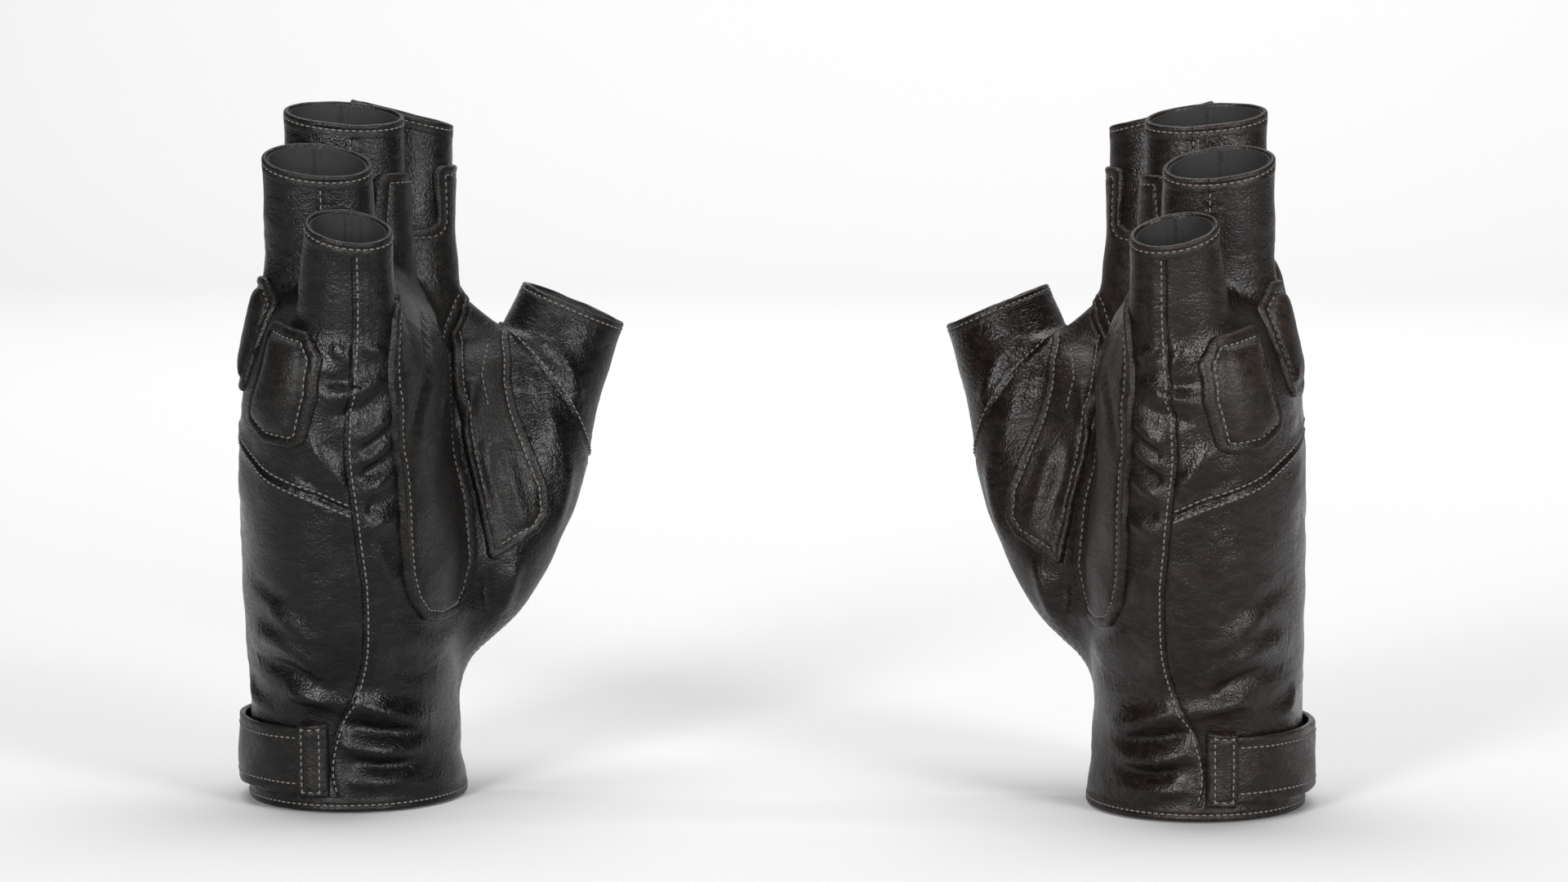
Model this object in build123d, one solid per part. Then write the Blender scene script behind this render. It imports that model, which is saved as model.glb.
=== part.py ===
from build123d import *
import math
import os

# A pair of fingerless leather gloves, standing on their wrist hems.
# Each glove is modelled once, as the right-hand one, in its own frame: the origin is the
# centre of the wrist opening on the ground, +X is the palm side, +Y is the thumb side and
# +Z runs up to the fingers. The left-hand glove is its mirror image.

# Driving dimensions, in millimetres and degrees.
PAIR_HALF_SPACING = 112.0   # from the middle of the pair to the centre of each wrist opening
PAIR_SHIFT_Y = 5.95         # puts the middle of the pair's box over the origin
LEATHER = 1.8               # wall of the glove, leather and its backing
PATCH = 1.5                 # reinforcing patches on the palm
PAD = 2.8                   # knuckle pads, cover and foam together
FOAM = 1.6                  # foam inside a knuckle pad
FOAM_BORDER = 4.0           # flat sewn border round the foam
PAD_CORNER = 4.5            # rounding of a knuckle pad's corners
HEM_HEIGHT = 3.6            # folded binding round every opening
HEM_PROUD = 0.3             # how far a binding stands out from the leather on each side
BODY_GAP = 0.5              # clearance between a stall and the panels it flexes on
WRIST_DROP = 2.0            # how far the hollow is carried past the wrist opening
CROTCH_WALL = 2.2           # leather between two fingers, measured downwards
STRAP_LOW = 4.8             # lower edge of the wrist strap
STRAP_HIGH = 22.4           # upper edge of the wrist strap
STRAP = 1.6                 # strap thickness
STRAP_LIFT = 0.9            # mean air under the strap
STRAP_SHIFT = (-0.6, 0.8)   # the strap stands off most on the back and the thumb side
STRAP_START_X = -3.0        # sewn end of the strap, under its keeper
STRAP_SPLIT = 165.0         # where the free flap starts, as an angle from the palm side
STRAP_END = 68.0            # the flap's free end
ANCHOR_TURN = 110.0         # angle spanned by the cut that leaves the strap's sewn half
HOOK = 0.7                  # hook tape under the flap
LOOP = 0.6                  # loop tape on the glove
LOOP_START = 128.0          # the tapes' ends, as angles from the palm side
TAPE_END = 74.0
TAPE_INSET = 2.0            # from the strap's edges to the tapes' edges
KEEPER_X = (-9.8, -2.0)     # keeper tab over the strap's sewn end
KEEPER_Z = (3.8, 24.2)
KEEPER = 3.0                # its height above the leather
PATCH_REACH = 3.0           # how deep a finger's root is cut out of the palm patch
CUTTER = 200.0              # size of the blocks that cut the shells
TALL_CUTTER = 400.0         # height of a block that has to span the whole glove

# Sections of the hand: height, centre x, centre y, half thickness, half width.
BODY = (
    (0.0, 0.0, 0.0, 29.0, 36.0),
    (14.0, -0.5, -1.0, 28.0, 35.0),
    (28.0, -0.5, -3.0, 27.5, 35.5),
    (48.0, 0.0, -8.0, 28.0, 39.0),
    (72.0, 0.5, -12.5, 28.5, 42.0),
    (98.0, 0.5, -15.0, 28.0, 44.0),
    (118.0, 1.5, -16.5, 25.5, 44.0),
    (132.0, 2.0, -15.5, 18.0, 38.0),
    (144.0, 2.0, -10.0, 6.0, 26.0),
)
FINGERS = {
    "index": (
        (100.0, 3.0, 10.0, 15.0, 11.0),
        (125.0, 7.5, 14.5, 17.5, 12.4),
        (150.0, 10.2, 17.0, 14.0, 11.6),
        (181.5, 10.8, 19.5, 13.9, 11.6),
        (192.0, 10.9, 20.3, 13.9, 11.6),
    ),
    "middle": (
        (100.0, 0.0, -6.0, 21.0, 11.8),
        (125.0, -1.5, -6.0, 19.5, 12.2),
        (150.0, -0.5, -6.4, 16.0, 11.7),
        (182.0, -0.8, -8.0, 15.6, 11.8),
        (192.0, -0.8, -8.5, 15.6, 11.8),
    ),
    "ring": (
        (100.0, 0.0, -26.0, 20.0, 11.8),
        (125.0, -3.0, -27.0, 18.5, 12.0),
        (146.0, -3.4, -29.8, 14.7, 11.5),
        (170.6, -3.7, -34.0, 14.0, 11.3),
        (180.0, -3.8, -35.6, 14.0, 11.3),
    ),
    "pinky": (
        (90.0, 2.0, -42.0, 14.0, 10.5),
        (112.0, 4.0, -46.5, 15.5, 11.4),
        (134.0, 5.8, -50.5, 12.6, 10.9),
        (154.5, 7.1, -56.0, 11.3, 10.3),
        (164.0, 7.7, -58.5, 11.3, 10.3),
    ),
}
# Rim of each stall: height at its centre and the rim's slope along x and y.
RIMS = {
    "index": (181.5, -0.237, -0.03),
    "middle": (182.0, -0.08, 0.217),
    "ring": (170.6, -0.11, 0.35),
    "pinky": (154.5, -0.18, 0.387),
}
# Height on each finger's centre line where its stall meets the panels.
ROOTS = {"index": 153.0, "middle": 153.0, "ring": 149.5, "pinky": 138.5}

# Sections of the thumb: centre, direction of its centre line, half thickness, half width.
THUMB = (
    ((8.0, 10.0, 34.0), (0.55, 0.2, 0.8), 10.0, 12.0),
    ((29.0, 17.0, 62.0), (0.5, 0.25, 0.83), 18.0, 18.5),
    ((38.0, 24.0, 85.0), (0.35, 0.3, 0.89), 19.5, 19.0),
    ((45.0, 31.0, 106.0), (0.35, 0.33, 0.88), 16.8, 16.5),
    ((54.3, 39.0, 129.2), (0.39, 0.25, 0.9), 14.9, 14.2),
    ((58.0, 41.5, 138.0), (0.39, 0.25, 0.9), 14.9, 14.2),
)
THUMB_RIM_AT = (54.3, 39.0, 129.2)
THUMB_RIM_SLOPES = (-0.423, -0.065)
THUMB_SEAM_AT = (44.4, 30.6, 105.5)
THUMB_SEAM_NORMAL = (0.72, 0.448, 0.531)
# The web between the thumb and the palm, as sections of the same form as the hand's.
WEB = (
    (52.0, 20.0, 6.0, 10.0, 12.0),
    (75.0, 22.0, 12.0, 17.0, 18.0),
    (98.0, 24.0, 18.0, 18.0, 18.0),
    (114.0, 27.0, 22.0, 13.0, 13.0),
    (122.0, 30.5, 25.0, 6.0, 8.0),
)

# Side seam between the palm and the back, as x at each height.
SIDE_SEAM = (
    (-5.0, 2.6), (0.0, 1.4), (10.0, -1.2), (22.0, 1.2), (34.0, 7.0), (52.0, 9.9),
    (80.0, 8.6), (98.0, 7.2), (115.0, 9.0), (150.0, 10.5), (190.0, 10.5),
)
# Arched seam across the back of the hand, as height at each y where x is 0. It rises by
# BACK_SEAM_RISE for each millimetre towards the back.
BACK_SEAM = (
    (-75.0, 80.4), (-54.0, 84.4), (-35.0, 88.0), (-12.0, 90.6), (10.0, 89.8), (32.0, 86.0), (60.0, 79.0),
)
BACK_SEAM_RISE = 0.508

# Palm patch, as y and height, seen square to the palm. Its two tabs run up the stalls.
PALM_PATCH = (
    (-22.0, 49.0), (-37.0, 53.5), (-43.5, 70.0), (-50.5, 98.0), (-53.5, 116.0), (-51.5, 130.0),
    (-44.0, 140.0), (-17.5, 148.0), (-17.0, 166.5), (1.5, 166.5), (1.5, 151.0), (10.0, 151.0),
    (10.0, 167.5), (31.0, 167.5), (31.0, 138.0), (20.0, 124.0), (6.0, 110.0), (1.5, 92.0),
    (0.5, 66.0), (-3.0, 49.5),
)
PALM_PATCH_CORNER = 2.5
PALM_PATCH_FROM_X = 11.0
# Thenar patch, as x and height, on the side of the thumb that faces the palm.
THENAR_PATCH = (
    (25.5, 119.0), (27.5, 101.0), (31.0, 87.0), (34.5, 75.0), (36.0, 61.5), (51.0, 71.5),
    (50.0, 82.0), (45.5, 94.0), (40.5, 104.0), (37.5, 113.0), (33.0, 121.0),
)
THENAR_CORNER = 1.5
THENAR_TO_Y = 24.0
# Knuckle pad outline, across and up, and each pad's centre, facing direction and turn.
PAD_OUTLINE = ((-7.0, 16.0), (12.5, 7.5), (6.0, -16.0), (-11.5, -7.5))
PADS = {
    "index": ((-8.0, 15.0, 127.0), (-0.93, 0.36, 0.1), 26.0),
    "middle": ((-20.0, -6.0, 133.0), (-0.98, 0.02, 0.17), 16.0),
    "ring": ((-21.0, -30.0, 126.0), (-0.95, -0.28, 0.16), 8.0),
    "pinky": ((-9.0, -52.0, 114.0), (-0.75, -0.66, 0.0), 0.0),
}
PAD_REACH = 16.0


def level_loft(sections, grow):
    """A smooth solid through level ellipses, each grown by the given amount."""
    rings = [Pos(x, y, z) * Ellipse(half_x + grow, half_y + grow) for z, x, y, half_x, half_y in sections]
    return loft(rings)


def hollowed(sections):
    """The same sections with their top lowered, so that the hollow leaves a wall above it."""
    top = sections[-1]
    return tuple(sections[:-1]) + ((top[0] - CROTCH_WALL,) + top[1:],)


def body_loft(grow):
    """The hand without its digits, open at the wrist when it is the hollow."""
    if grow >= 0:
        return level_loft(BODY, grow)
    first = BODY[0]
    return level_loft(((first[0] - WRIST_DROP,) + first[1:],) + hollowed(BODY), grow)


def web_loft(grow):
    """The web at the root of the thumb."""
    return level_loft(WEB if grow >= 0 else hollowed(WEB), grow)


def thumb_loft(grow):
    """The thumb, through ellipses square to its centre line."""
    rings = []
    for centre, along, half_x, half_y in THUMB:
        plane = Plane(origin=centre, x_dir=(1, 0, 0), z_dir=along)
        rings.append(plane * Ellipse(half_x + grow, half_y + grow))
    return loft(rings)


def hand_loft(grow):
    """The hand and its four fingers."""
    hand = body_loft(grow)
    for sections in FINGERS.values():
        hand += level_loft(sections, grow)
    return hand


def thumb_and_web(grow):
    return thumb_loft(grow) + web_loft(grow)


def above(plane, lift=0.0):
    """The half space on a plane's positive side, as a block."""
    block = Box(CUTTER, CUTTER, CUTTER, align=(Align.CENTER, Align.CENTER, Align.MIN))
    return plane * Pos(0, 0, lift) * block


def between_levels(low, high):
    block = Box(CUTTER, CUTTER, high - low, align=(Align.CENTER, Align.CENTER, Align.MIN))
    return Pos(0, 0, low) * block


def centre_at(name, height):
    """The finger's centre line at a height, between its sections."""
    sections = FINGERS[name]
    for low, high in zip(sections, sections[1:]):
        if low[0] <= height <= high[0]:
            share = (height - low[0]) / (high[0] - low[0])
            return tuple(low[i] + share * (high[i] - low[i]) for i in (1, 2))
    raise ValueError(name)


def rim_plane(name):
    if name == "thumb":
        slope_x, slope_y = THUMB_RIM_SLOPES
        return Plane(origin=THUMB_RIM_AT, x_dir=(1, 0, 0), z_dir=(-slope_x, -slope_y, 1))
    height, slope_x, slope_y = RIMS[name]
    x, y = centre_at(name, height)
    return Plane(origin=(x, y, height), x_dir=(1, 0, 0), z_dir=(-slope_x, -slope_y, 1))


def root_plane(name):
    """Square to the digit's centre line, where its stall starts."""
    if name == "thumb":
        return Plane(origin=THUMB_SEAM_AT, x_dir=(0, 1, 0), z_dir=THUMB_SEAM_NORMAL)
    height = ROOTS[name]
    x, y = centre_at(name, height)
    rim_height = RIMS[name][0]
    rim_y = centre_at(name, rim_height)[1]
    return Plane(origin=(x, y, height), x_dir=(1, 0, 0), z_dir=(0, rim_y - y, rim_height - height))


def digit_loft(name, grow):
    return thumb_loft(grow) if name == "thumb" else level_loft(FINGERS[name], grow)


def palm_side():
    """Everything on the palm side of the side seam."""
    points = [(x, z) for z, x in SIDE_SEAM]
    low, high = points[0], points[-1]
    edge = Polyline(high, (CUTTER / 2, high[1]), (CUTTER / 2, low[1]), low)
    face = make_face(Plane.XZ * (Spline(*points) + edge))
    return extrude(face, CUTTER / 2, both=True)


def below_back_seam():
    """Everything under the arched seam on the back of the hand."""
    low, high = BACK_SEAM[0], BACK_SEAM[-1]
    edge = Polyline(high, (high[0], -CUTTER / 2), (low[0], -CUTTER / 2), low)
    face = make_face(Plane.YZ * (Spline(*BACK_SEAM) + edge))
    return extrude(face, CUTTER / 2, dir=(1, 0, -BACK_SEAM_RISE), both=True)


def sector(start, end):
    """The wedge between two angles about the wrist's axis, less than half a turn."""
    reach = CUTTER / 2
    middle = math.radians((start + end) / 2)
    corners = [(0.0, 0.0)]
    for angle in (math.radians(start), middle, math.radians(end)):
        corners.append((reach * math.cos(angle), reach * math.sin(angle)))
    return extrude(make_face(Polyline(*corners, close=True)), CUTTER, both=True)


def wrist_band(inner, outer, low, high):
    """A band round the wrist between two distances from the leather."""
    return (body_loft(outer) - body_loft(inner)) & between_levels(low, high)


def strap_band(inner, outer, inset=0.0):
    """A band at the strap's place, between two distances from its inner face."""
    shift = Pos(STRAP_SHIFT[0], STRAP_SHIFT[1], 0)
    band = shift * (body_loft(STRAP_LIFT + outer) - body_loft(STRAP_LIFT + inner))
    return band & between_levels(STRAP_LOW + inset, STRAP_HIGH - inset)


def strap_nodes():
    """The sewn half of the wrist strap, its free flap, the tapes and the keeper tab."""
    strap = strap_band(0.0, STRAP)
    sewn_side = Pos(STRAP_START_X, 0, 0) * Box(
        CUTTER, CUTTER, CUTTER, align=(Align.MAX, Align.CENTER, Align.CENTER))
    gap_turn = math.degrees(BODY_GAP / BODY[0][3])
    anchor = strap & sewn_side & sector(STRAP_SPLIT, STRAP_SPLIT + ANCHOR_TURN)
    flap = strap & sector(STRAP_END, STRAP_SPLIT - gap_turn)
    hook = strap_band(-HOOK, 0.0, TAPE_INSET) & sector(TAPE_END, LOOP_START)
    loop = wrist_band(0.0, LOOP, STRAP_LOW + TAPE_INSET, STRAP_HIGH - TAPE_INSET)
    keeper_width = KEEPER_X[1] - KEEPER_X[0]
    keeper_box = Pos(KEEPER_X[0], 0, 0) * Box(
        keeper_width, CUTTER, CUTTER, align=(Align.MIN, Align.MAX, Align.CENTER))
    keeper = wrist_band(0.0, KEEPER, *KEEPER_Z) & keeper_box
    return {
        "strap_anchor": anchor,
        "strap_flap": flap,
        "hook_tape": hook,
        "loop_tape": loop & sector(TAPE_END, LOOP_START),
        "strap_keeper": keeper - anchor,
    }


def rounded_outline(points, corner):
    return make_face(FilletPolyline(*points, radius=corner, close=True))


def inset_outline(points, inset):
    """A convex outline's corners, each drawn towards the middle by the inset."""
    pulled = []
    for across, up in points:
        length = math.hypot(across, up)
        share = (length - inset * math.sqrt(2)) / length
        pulled.append((across * share, up * share))
    return pulled


def pad_prism(name, inset, corner):
    """The space over one knuckle, inside its pad's outline."""
    centre, facing, turn = PADS[name]
    plane = Plane(origin=centre, x_dir=(-facing[1], facing[0], 0), z_dir=facing)
    face = rounded_outline(inset_outline(PAD_OUTLINE, inset), corner)
    return plane * Rot(0, 0, turn) * extrude(face, PAD_REACH, both=True)


def overlay_nodes(outer):
    """The palm patch with its tabs, the thenar patch, and the knuckle pads with their foam."""
    nodes = {}
    palm_outline = extrude(Plane.YZ * rounded_outline(PALM_PATCH, PALM_PATCH_CORNER), CUTTER / 2)
    palm_outline = Pos(PALM_PATCH_FROM_X, 0, 0) * palm_outline
    palm = (hand_loft(PATCH) - outer) & palm_outline
    for name in FINGERS:
        root = root_plane(name)
        palm -= digit_loft(name, PATCH_REACH) & above(root, -BODY_GAP / 2)
    nodes["palm_patch"] = palm
    for name in ("index", "middle"):
        tab = digit_loft(name, PATCH) - digit_loft(name, 0)
        nodes[f"{name}_tab"] = tab & palm_outline & above(root_plane(name), BODY_GAP / 2)
    thenar_outline = extrude(Plane.XZ * rounded_outline(THENAR_PATCH, THENAR_CORNER), CUTTER / 2, both=True)
    thenar_outline &= Pos(0, THENAR_TO_Y, 0) * Box(
        CUTTER, CUTTER, TALL_CUTTER, align=(Align.CENTER, Align.MAX, Align.CENTER))
    thenar = (thumb_and_web(PATCH) - outer) & thenar_outline
    nodes["thenar_patch"] = thenar - palm - above(root_plane("thumb"), -BODY_GAP / 2)
    padded = hand_loft(PAD) - outer
    foamed = hand_loft(FOAM) - outer
    foams = []
    for name in PADS:
        foam = foamed & pad_prism(name, FOAM_BORDER, PAD_CORNER / 2)
        nodes[f"{name}_knuckle_pad"] = (padded & pad_prism(name, 0.0, PAD_CORNER)) - foam
        foams.append(foam)
    nodes["knuckle_foam"] = Compound(children=foams)
    return nodes


def digit_nodes(name, hollow):
    """One stall and the folded binding round its rim."""
    digit = digit_loft(name, 0)
    rim = rim_plane(name)
    stall = digit & above(root_plane(name), BODY_GAP / 2)
    band = digit_loft(name, HEM_PROUD) - digit_loft(name, -LEATHER - HEM_PROUD)
    return {
        f"{name}_stall": stall - above(rim, -HEM_HEIGHT) - hollow,
        f"{name}_rim": (band & above(rim, -HEM_HEIGHT)) - above(rim),
    }


def panel_nodes(outer, hollow):
    """The palm and back panels and the binding round the wrist."""
    shell = (outer - hollow) & between_levels(HEM_HEIGHT, CUTTER)
    palm = palm_side()
    low_back = below_back_seam()
    back = shell - palm
    return {
        "palm_panel": shell & palm,
        "back_lower_panel": back & low_back,
        "back_upper_panel": back - low_back,
        "wrist_binding": wrist_band(-LEATHER - HEM_PROUD, HEM_PROUD, 0.0, HEM_HEIGHT),
    }


def build_glove():
    """Every node of the right-hand glove, in the glove's own frame."""
    hollow = hand_loft(-LEATHER) + thumb_and_web(-LEATHER)
    outer = body_loft(0) + (web_loft(0) - above(root_plane("thumb"), -BODY_GAP / 2))
    for name in (*FINGERS, "thumb"):
        outer += digit_loft(name, 0) - above(root_plane(name), -BODY_GAP / 2)
    nodes = panel_nodes(outer, hollow)
    for name in (*FINGERS, "thumb"):
        nodes.update(digit_nodes(name, hollow))
    nodes.update(overlay_nodes(outer))
    nodes.update(strap_nodes())
    return nodes


def write_nodes(side, nodes, place):
    for name, solid in nodes.items():
        export_step(place(solid), f"parts/{side}_{name}.step")


os.makedirs("parts", exist_ok=True)
glove = build_glove()
right_place = Pos(-PAIR_HALF_SPACING, PAIR_SHIFT_Y, 0)
write_nodes("right", glove, lambda solid: right_place * solid)
write_nodes("left", glove, lambda solid: mirror(right_place * solid, about=Plane.YZ))
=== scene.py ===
import math

import bpy
import numpy as np
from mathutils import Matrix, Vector, noise


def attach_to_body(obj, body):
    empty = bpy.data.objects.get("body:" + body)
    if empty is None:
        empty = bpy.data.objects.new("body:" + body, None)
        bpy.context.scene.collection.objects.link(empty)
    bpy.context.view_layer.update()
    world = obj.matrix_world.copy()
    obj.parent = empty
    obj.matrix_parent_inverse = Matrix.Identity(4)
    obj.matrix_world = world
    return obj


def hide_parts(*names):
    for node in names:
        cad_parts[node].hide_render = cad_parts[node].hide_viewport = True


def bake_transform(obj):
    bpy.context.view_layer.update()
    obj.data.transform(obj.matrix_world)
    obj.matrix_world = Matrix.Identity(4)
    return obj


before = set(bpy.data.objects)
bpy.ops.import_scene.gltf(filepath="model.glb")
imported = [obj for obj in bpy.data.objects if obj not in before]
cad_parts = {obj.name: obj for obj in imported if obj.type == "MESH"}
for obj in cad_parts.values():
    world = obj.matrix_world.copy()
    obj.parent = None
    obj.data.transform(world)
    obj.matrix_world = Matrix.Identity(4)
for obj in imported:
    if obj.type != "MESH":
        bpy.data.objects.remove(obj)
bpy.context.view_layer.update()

# Everything on a glove is made once, for the right-hand glove, in millimetres in the glove's own
# frame: the origin is the centre of its wrist opening on the ground, +X is the palm side, +Y is
# the thumb side and +Z runs up to the fingers. The left-hand glove is its mirror image.
MM = 0.001
STEP = 1.0       # spacing of the grid that the leather's shape is read from
LEATHER = 1.1                            # visible leather, outer layer
LINING = 0.5                             # inner layer
LINING_DEPTH = 1.15                      # from the outer face to the lining's outer face
LINING_TOP = 0.9                         # the lining stops this far under a rim
LINING_RELIEF = 0.4                      # share of the leather's folds that shows inside

# Sections of the hand, as in the solids: height, centre x, centre y, half thickness, half width.
BODY = (
    (0.0, 0.0, 0.0, 29.0, 36.0), (14.0, -0.5, -1.0, 28.0, 35.0), (28.0, -0.5, -3.0, 27.5, 35.5),
    (48.0, 0.0, -8.0, 28.0, 39.0), (72.0, 0.5, -12.5, 28.5, 42.0), (98.0, 0.5, -15.0, 28.0, 44.0),
    (118.0, 1.2, -16.5, 25.8, 44.0), (132.0, 1.0, -15.5, 19.5, 38.0), (144.0, 1.0, -10.0, 8.0, 26.0),
)
FINGERS = {
    "index": (
        (100.0, 3.0, 10.0, 15.0, 11.0), (125.0, 7.5, 14.5, 17.5, 12.4), (150.0, 9.4, 17.0, 14.0, 11.6),
        (181.5, 10.0, 19.5, 13.9, 11.6), (196.0, 10.1, 20.6, 13.9, 11.6),
    ),
    "middle": (
        (100.0, 0.0, -6.0, 21.0, 11.8), (125.0, -1.5, -6.0, 19.5, 12.2), (150.0, -0.9, -6.4, 16.3, 11.7),
        (182.0, -1.4, -8.0, 15.9, 11.8), (196.0, -1.4, -8.7, 15.9, 11.8),
    ),
    "ring": (
        (100.0, 0.0, -26.0, 20.0, 11.8), (125.0, -3.0, -27.0, 18.5, 12.0), (146.0, -4.0, -29.8, 15.0, 11.5),
        (170.6, -4.4, -34.0, 14.3, 11.3), (184.0, -4.5, -36.3, 14.3, 11.3),
    ),
    "pinky": (
        (90.0, 2.0, -42.0, 14.0, 10.5), (112.0, 4.0, -46.5, 15.5, 11.4), (134.0, 5.8, -50.5, 12.6, 10.9),
        (154.5, 7.1, -56.0, 11.3, 10.3), (168.0, 7.9, -59.6, 11.3, 10.3),
    ),
}
# Rim of each stall: height at its centre and the rim's slope along x and y.
RIMS = {
    "index": (181.5, -0.237, -0.03), "middle": (182.0, -0.08, 0.217),
    "ring": (170.6, -0.11, 0.35), "pinky": (154.5, -0.18, 0.387),
}
ROOTS = {"index": 153.0, "middle": 153.0, "ring": 149.5, "pinky": 138.5}
# Sections of the thumb: centre, direction of its centre line, half thickness, half width.
THUMB = (
    ((11.0, 9.0, 34.0), (0.55, 0.2, 0.8), 11.5, 12.5),
    ((30.0, 17.0, 62.0), (0.5, 0.25, 0.83), 18.3, 18.5),
    ((38.6, 24.0, 85.0), (0.35, 0.3, 0.89), 19.9, 19.0),
    ((45.4, 31.0, 106.0), (0.35, 0.33, 0.88), 17.1, 16.5),
    ((54.3, 39.0, 129.2), (0.39, 0.25, 0.9), 14.9, 14.2),
    ((60.0, 42.7, 142.5), (0.39, 0.25, 0.9), 14.9, 14.2),
)
RIM_SPARE = 3.0                 # how far a finger's shape runs past its rim before it is cut
FOOT = -14.0                    # and how far down the hand's shape runs past its hem
THUMB_LOW = (-12.0, -14.0, 18.0)     # the thumb is worked out above these x, y and z
THUMB_TOP = 158.0                    # and below this z
THUMB_FAR = 60.0                     # the distance given to everything else
THUMB_RIM_AT = (54.3, 39.0, 129.2)
THUMB_RIM_SLOPES = (-0.423, -0.065)
THUMB_SEAM_AT = (44.4, 30.6, 105.5)
THUMB_SEAM_NORMAL = (0.72, 0.448, 0.531)
WEB = (
    (52.0, 20.0, 6.0, 10.0, 12.0), (75.0, 22.0, 12.0, 17.0, 18.0), (98.0, 24.0, 18.0, 18.0, 18.0),
    (114.0, 27.0, 22.0, 13.0, 13.0), (120.0, 29.0, 24.0, 8.5, 9.0), (125.0, 26.3, 22.0, 5.6, 6.0),
    (130.0, 23.0, 20.0, 2.6, 4.0),
)
DIGITS = ("index", "middle", "ring", "pinky", "thumb")
# The palm is a little hollow: where it starts in x, its middle in y and z, its spread and depth.
PALM_HOLLOW = (8.0, -16.0, 103.0)
PALM_HOLLOW_SIZE = (19.0, 32.0)
PALM_HOLLOW_DEPTH = 4.2
GRID_LOW, GRID_HIGH = (-36.0, -75.0, -12.0), (78.0, 62.0, 198.0)


# ---------------------------------------------------------------- shape of the leather

def bump(distance, width):
    return np.exp(-(distance / width) ** 2)


def ease(t):
    t = np.clip(t, 0.0, 1.0)
    return t * t * (3 - 2 * t)


def through(levels, values, at):
    """A smooth curve through values at rising levels (cubic, Catmull-Rom tangents)."""
    levels = np.asarray(levels, float)
    values = np.asarray(values, float)
    slopes = np.gradient(values, levels)
    at = np.clip(at, levels[0], levels[-1])
    i = np.clip(np.searchsorted(levels, at, side="right") - 1, 0, len(levels) - 2)
    width = levels[i + 1] - levels[i]
    t = (at - levels[i]) / width
    t2, t3 = t * t, t * t * t
    return ((2 * t3 - 3 * t2 + 1) * values[i] + (t3 - 2 * t2 + t) * width * slopes[i]
            + (3 * t2 - 2 * t3) * values[i + 1] + (t3 - t2) * width * slopes[i + 1])


def read_table(table, at, columns=(1, 2, 3, 4)):
    """Columns of a table, read smoothly at values of its first column."""
    return [through([row[0] for row in table], [row[k] for row in table], at) for k in columns]


def walk(path):
    """How far along a path each of its points is."""
    return np.concatenate([[0.0], np.cumsum(np.linalg.norm(np.diff(path, axis=0), axis=1))])


def ellipse_distance(dx, dy, half_x, half_y):
    """About the distance from an ellipse, negative inside."""
    reach = np.sqrt((dx / half_x) ** 2 + (dy / half_y) ** 2)
    slope = np.sqrt((dx / half_x ** 2) ** 2 + (dy / half_y ** 2) ** 2)
    small = np.minimum(half_x, half_y)
    near_axis = reach < 0.05
    slope = np.where(near_axis, 1.0, slope)
    return np.where(near_axis, (reach - 1) * small, (reach - 1) * reach / slope)


def level_field(sections, p):
    """Distance from the tube through level sections, closed by a flat cap at each end."""
    z = p[..., 2]
    cx, cy, half_x, half_y = read_table(sections, z)
    side = ellipse_distance(p[..., 0] - cx, p[..., 1] - cy, half_x, half_y)
    caps = np.maximum(sections[0][0] - z, z - sections[-1][0])
    return np.maximum(side, caps)


def smooth_min(a, b, blend):
    h = np.maximum(blend - np.abs(a - b), 0.0) / blend
    return np.minimum(a, b) - h * h * blend * 0.25


def unit(v):
    v = np.asarray(v, float)
    return v / np.linalg.norm(v, axis=-1, keepdims=True)


def thumb_line(count=70):
    """Points, directions and half sizes along the thumb's centre line."""
    centres = np.array([s[0] for s in THUMB], float)
    walked = walk(centres)
    at = np.linspace(0, walked[-1], count)
    line = np.stack([through(walked, centres[:, k], at) for k in range(3)], axis=1)
    ways = unit([s[1] for s in THUMB])
    along = unit(np.stack([through(walked, ways[:, k], at) for k in range(3)], axis=1))
    across = unit(np.cross(along, np.cross((1.0, 0.0, 0.0), along)))
    aside = np.cross(along, across)
    half = np.stack([through(walked, [s[k] for s in THUMB], at) for k in (2, 3)], axis=1)
    return line, along, across, aside, half


def thumb_field(p):
    line, along, across, aside, half = thumb_line()
    flat = p.reshape(-1, 3)
    best = np.full(len(flat), THUMB_FAR)
    near = np.where((flat > THUMB_LOW).all(1) & (flat[:, 2] < THUMB_TOP))[0]
    for chunk in np.array_split(near, max(1, len(near) // 60000)):
        q = flat[chunk]
        off = q[:, None, :] - line[None, :, :]
        ahead = np.einsum("ijk,jk->ij", off, along)
        i = np.argmin(np.abs(ahead) + 0.15 * np.linalg.norm(off, axis=2), axis=1)
        rows = np.arange(len(q))
        d = off[rows, i]
        shift = ahead[rows, i]
        dx = np.einsum("ij,ij->i", d, across[i])
        dy = np.einsum("ij,ij->i", d, aside[i])
        side = ellipse_distance(dx, dy, half[i, 0], half[i, 1])
        cap = np.where(i == 0, -shift, np.where(i == len(line) - 1, shift, -THUMB_FAR))
        best[chunk] = np.maximum(side, cap)
    return best.reshape(p.shape[:-1])


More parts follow.
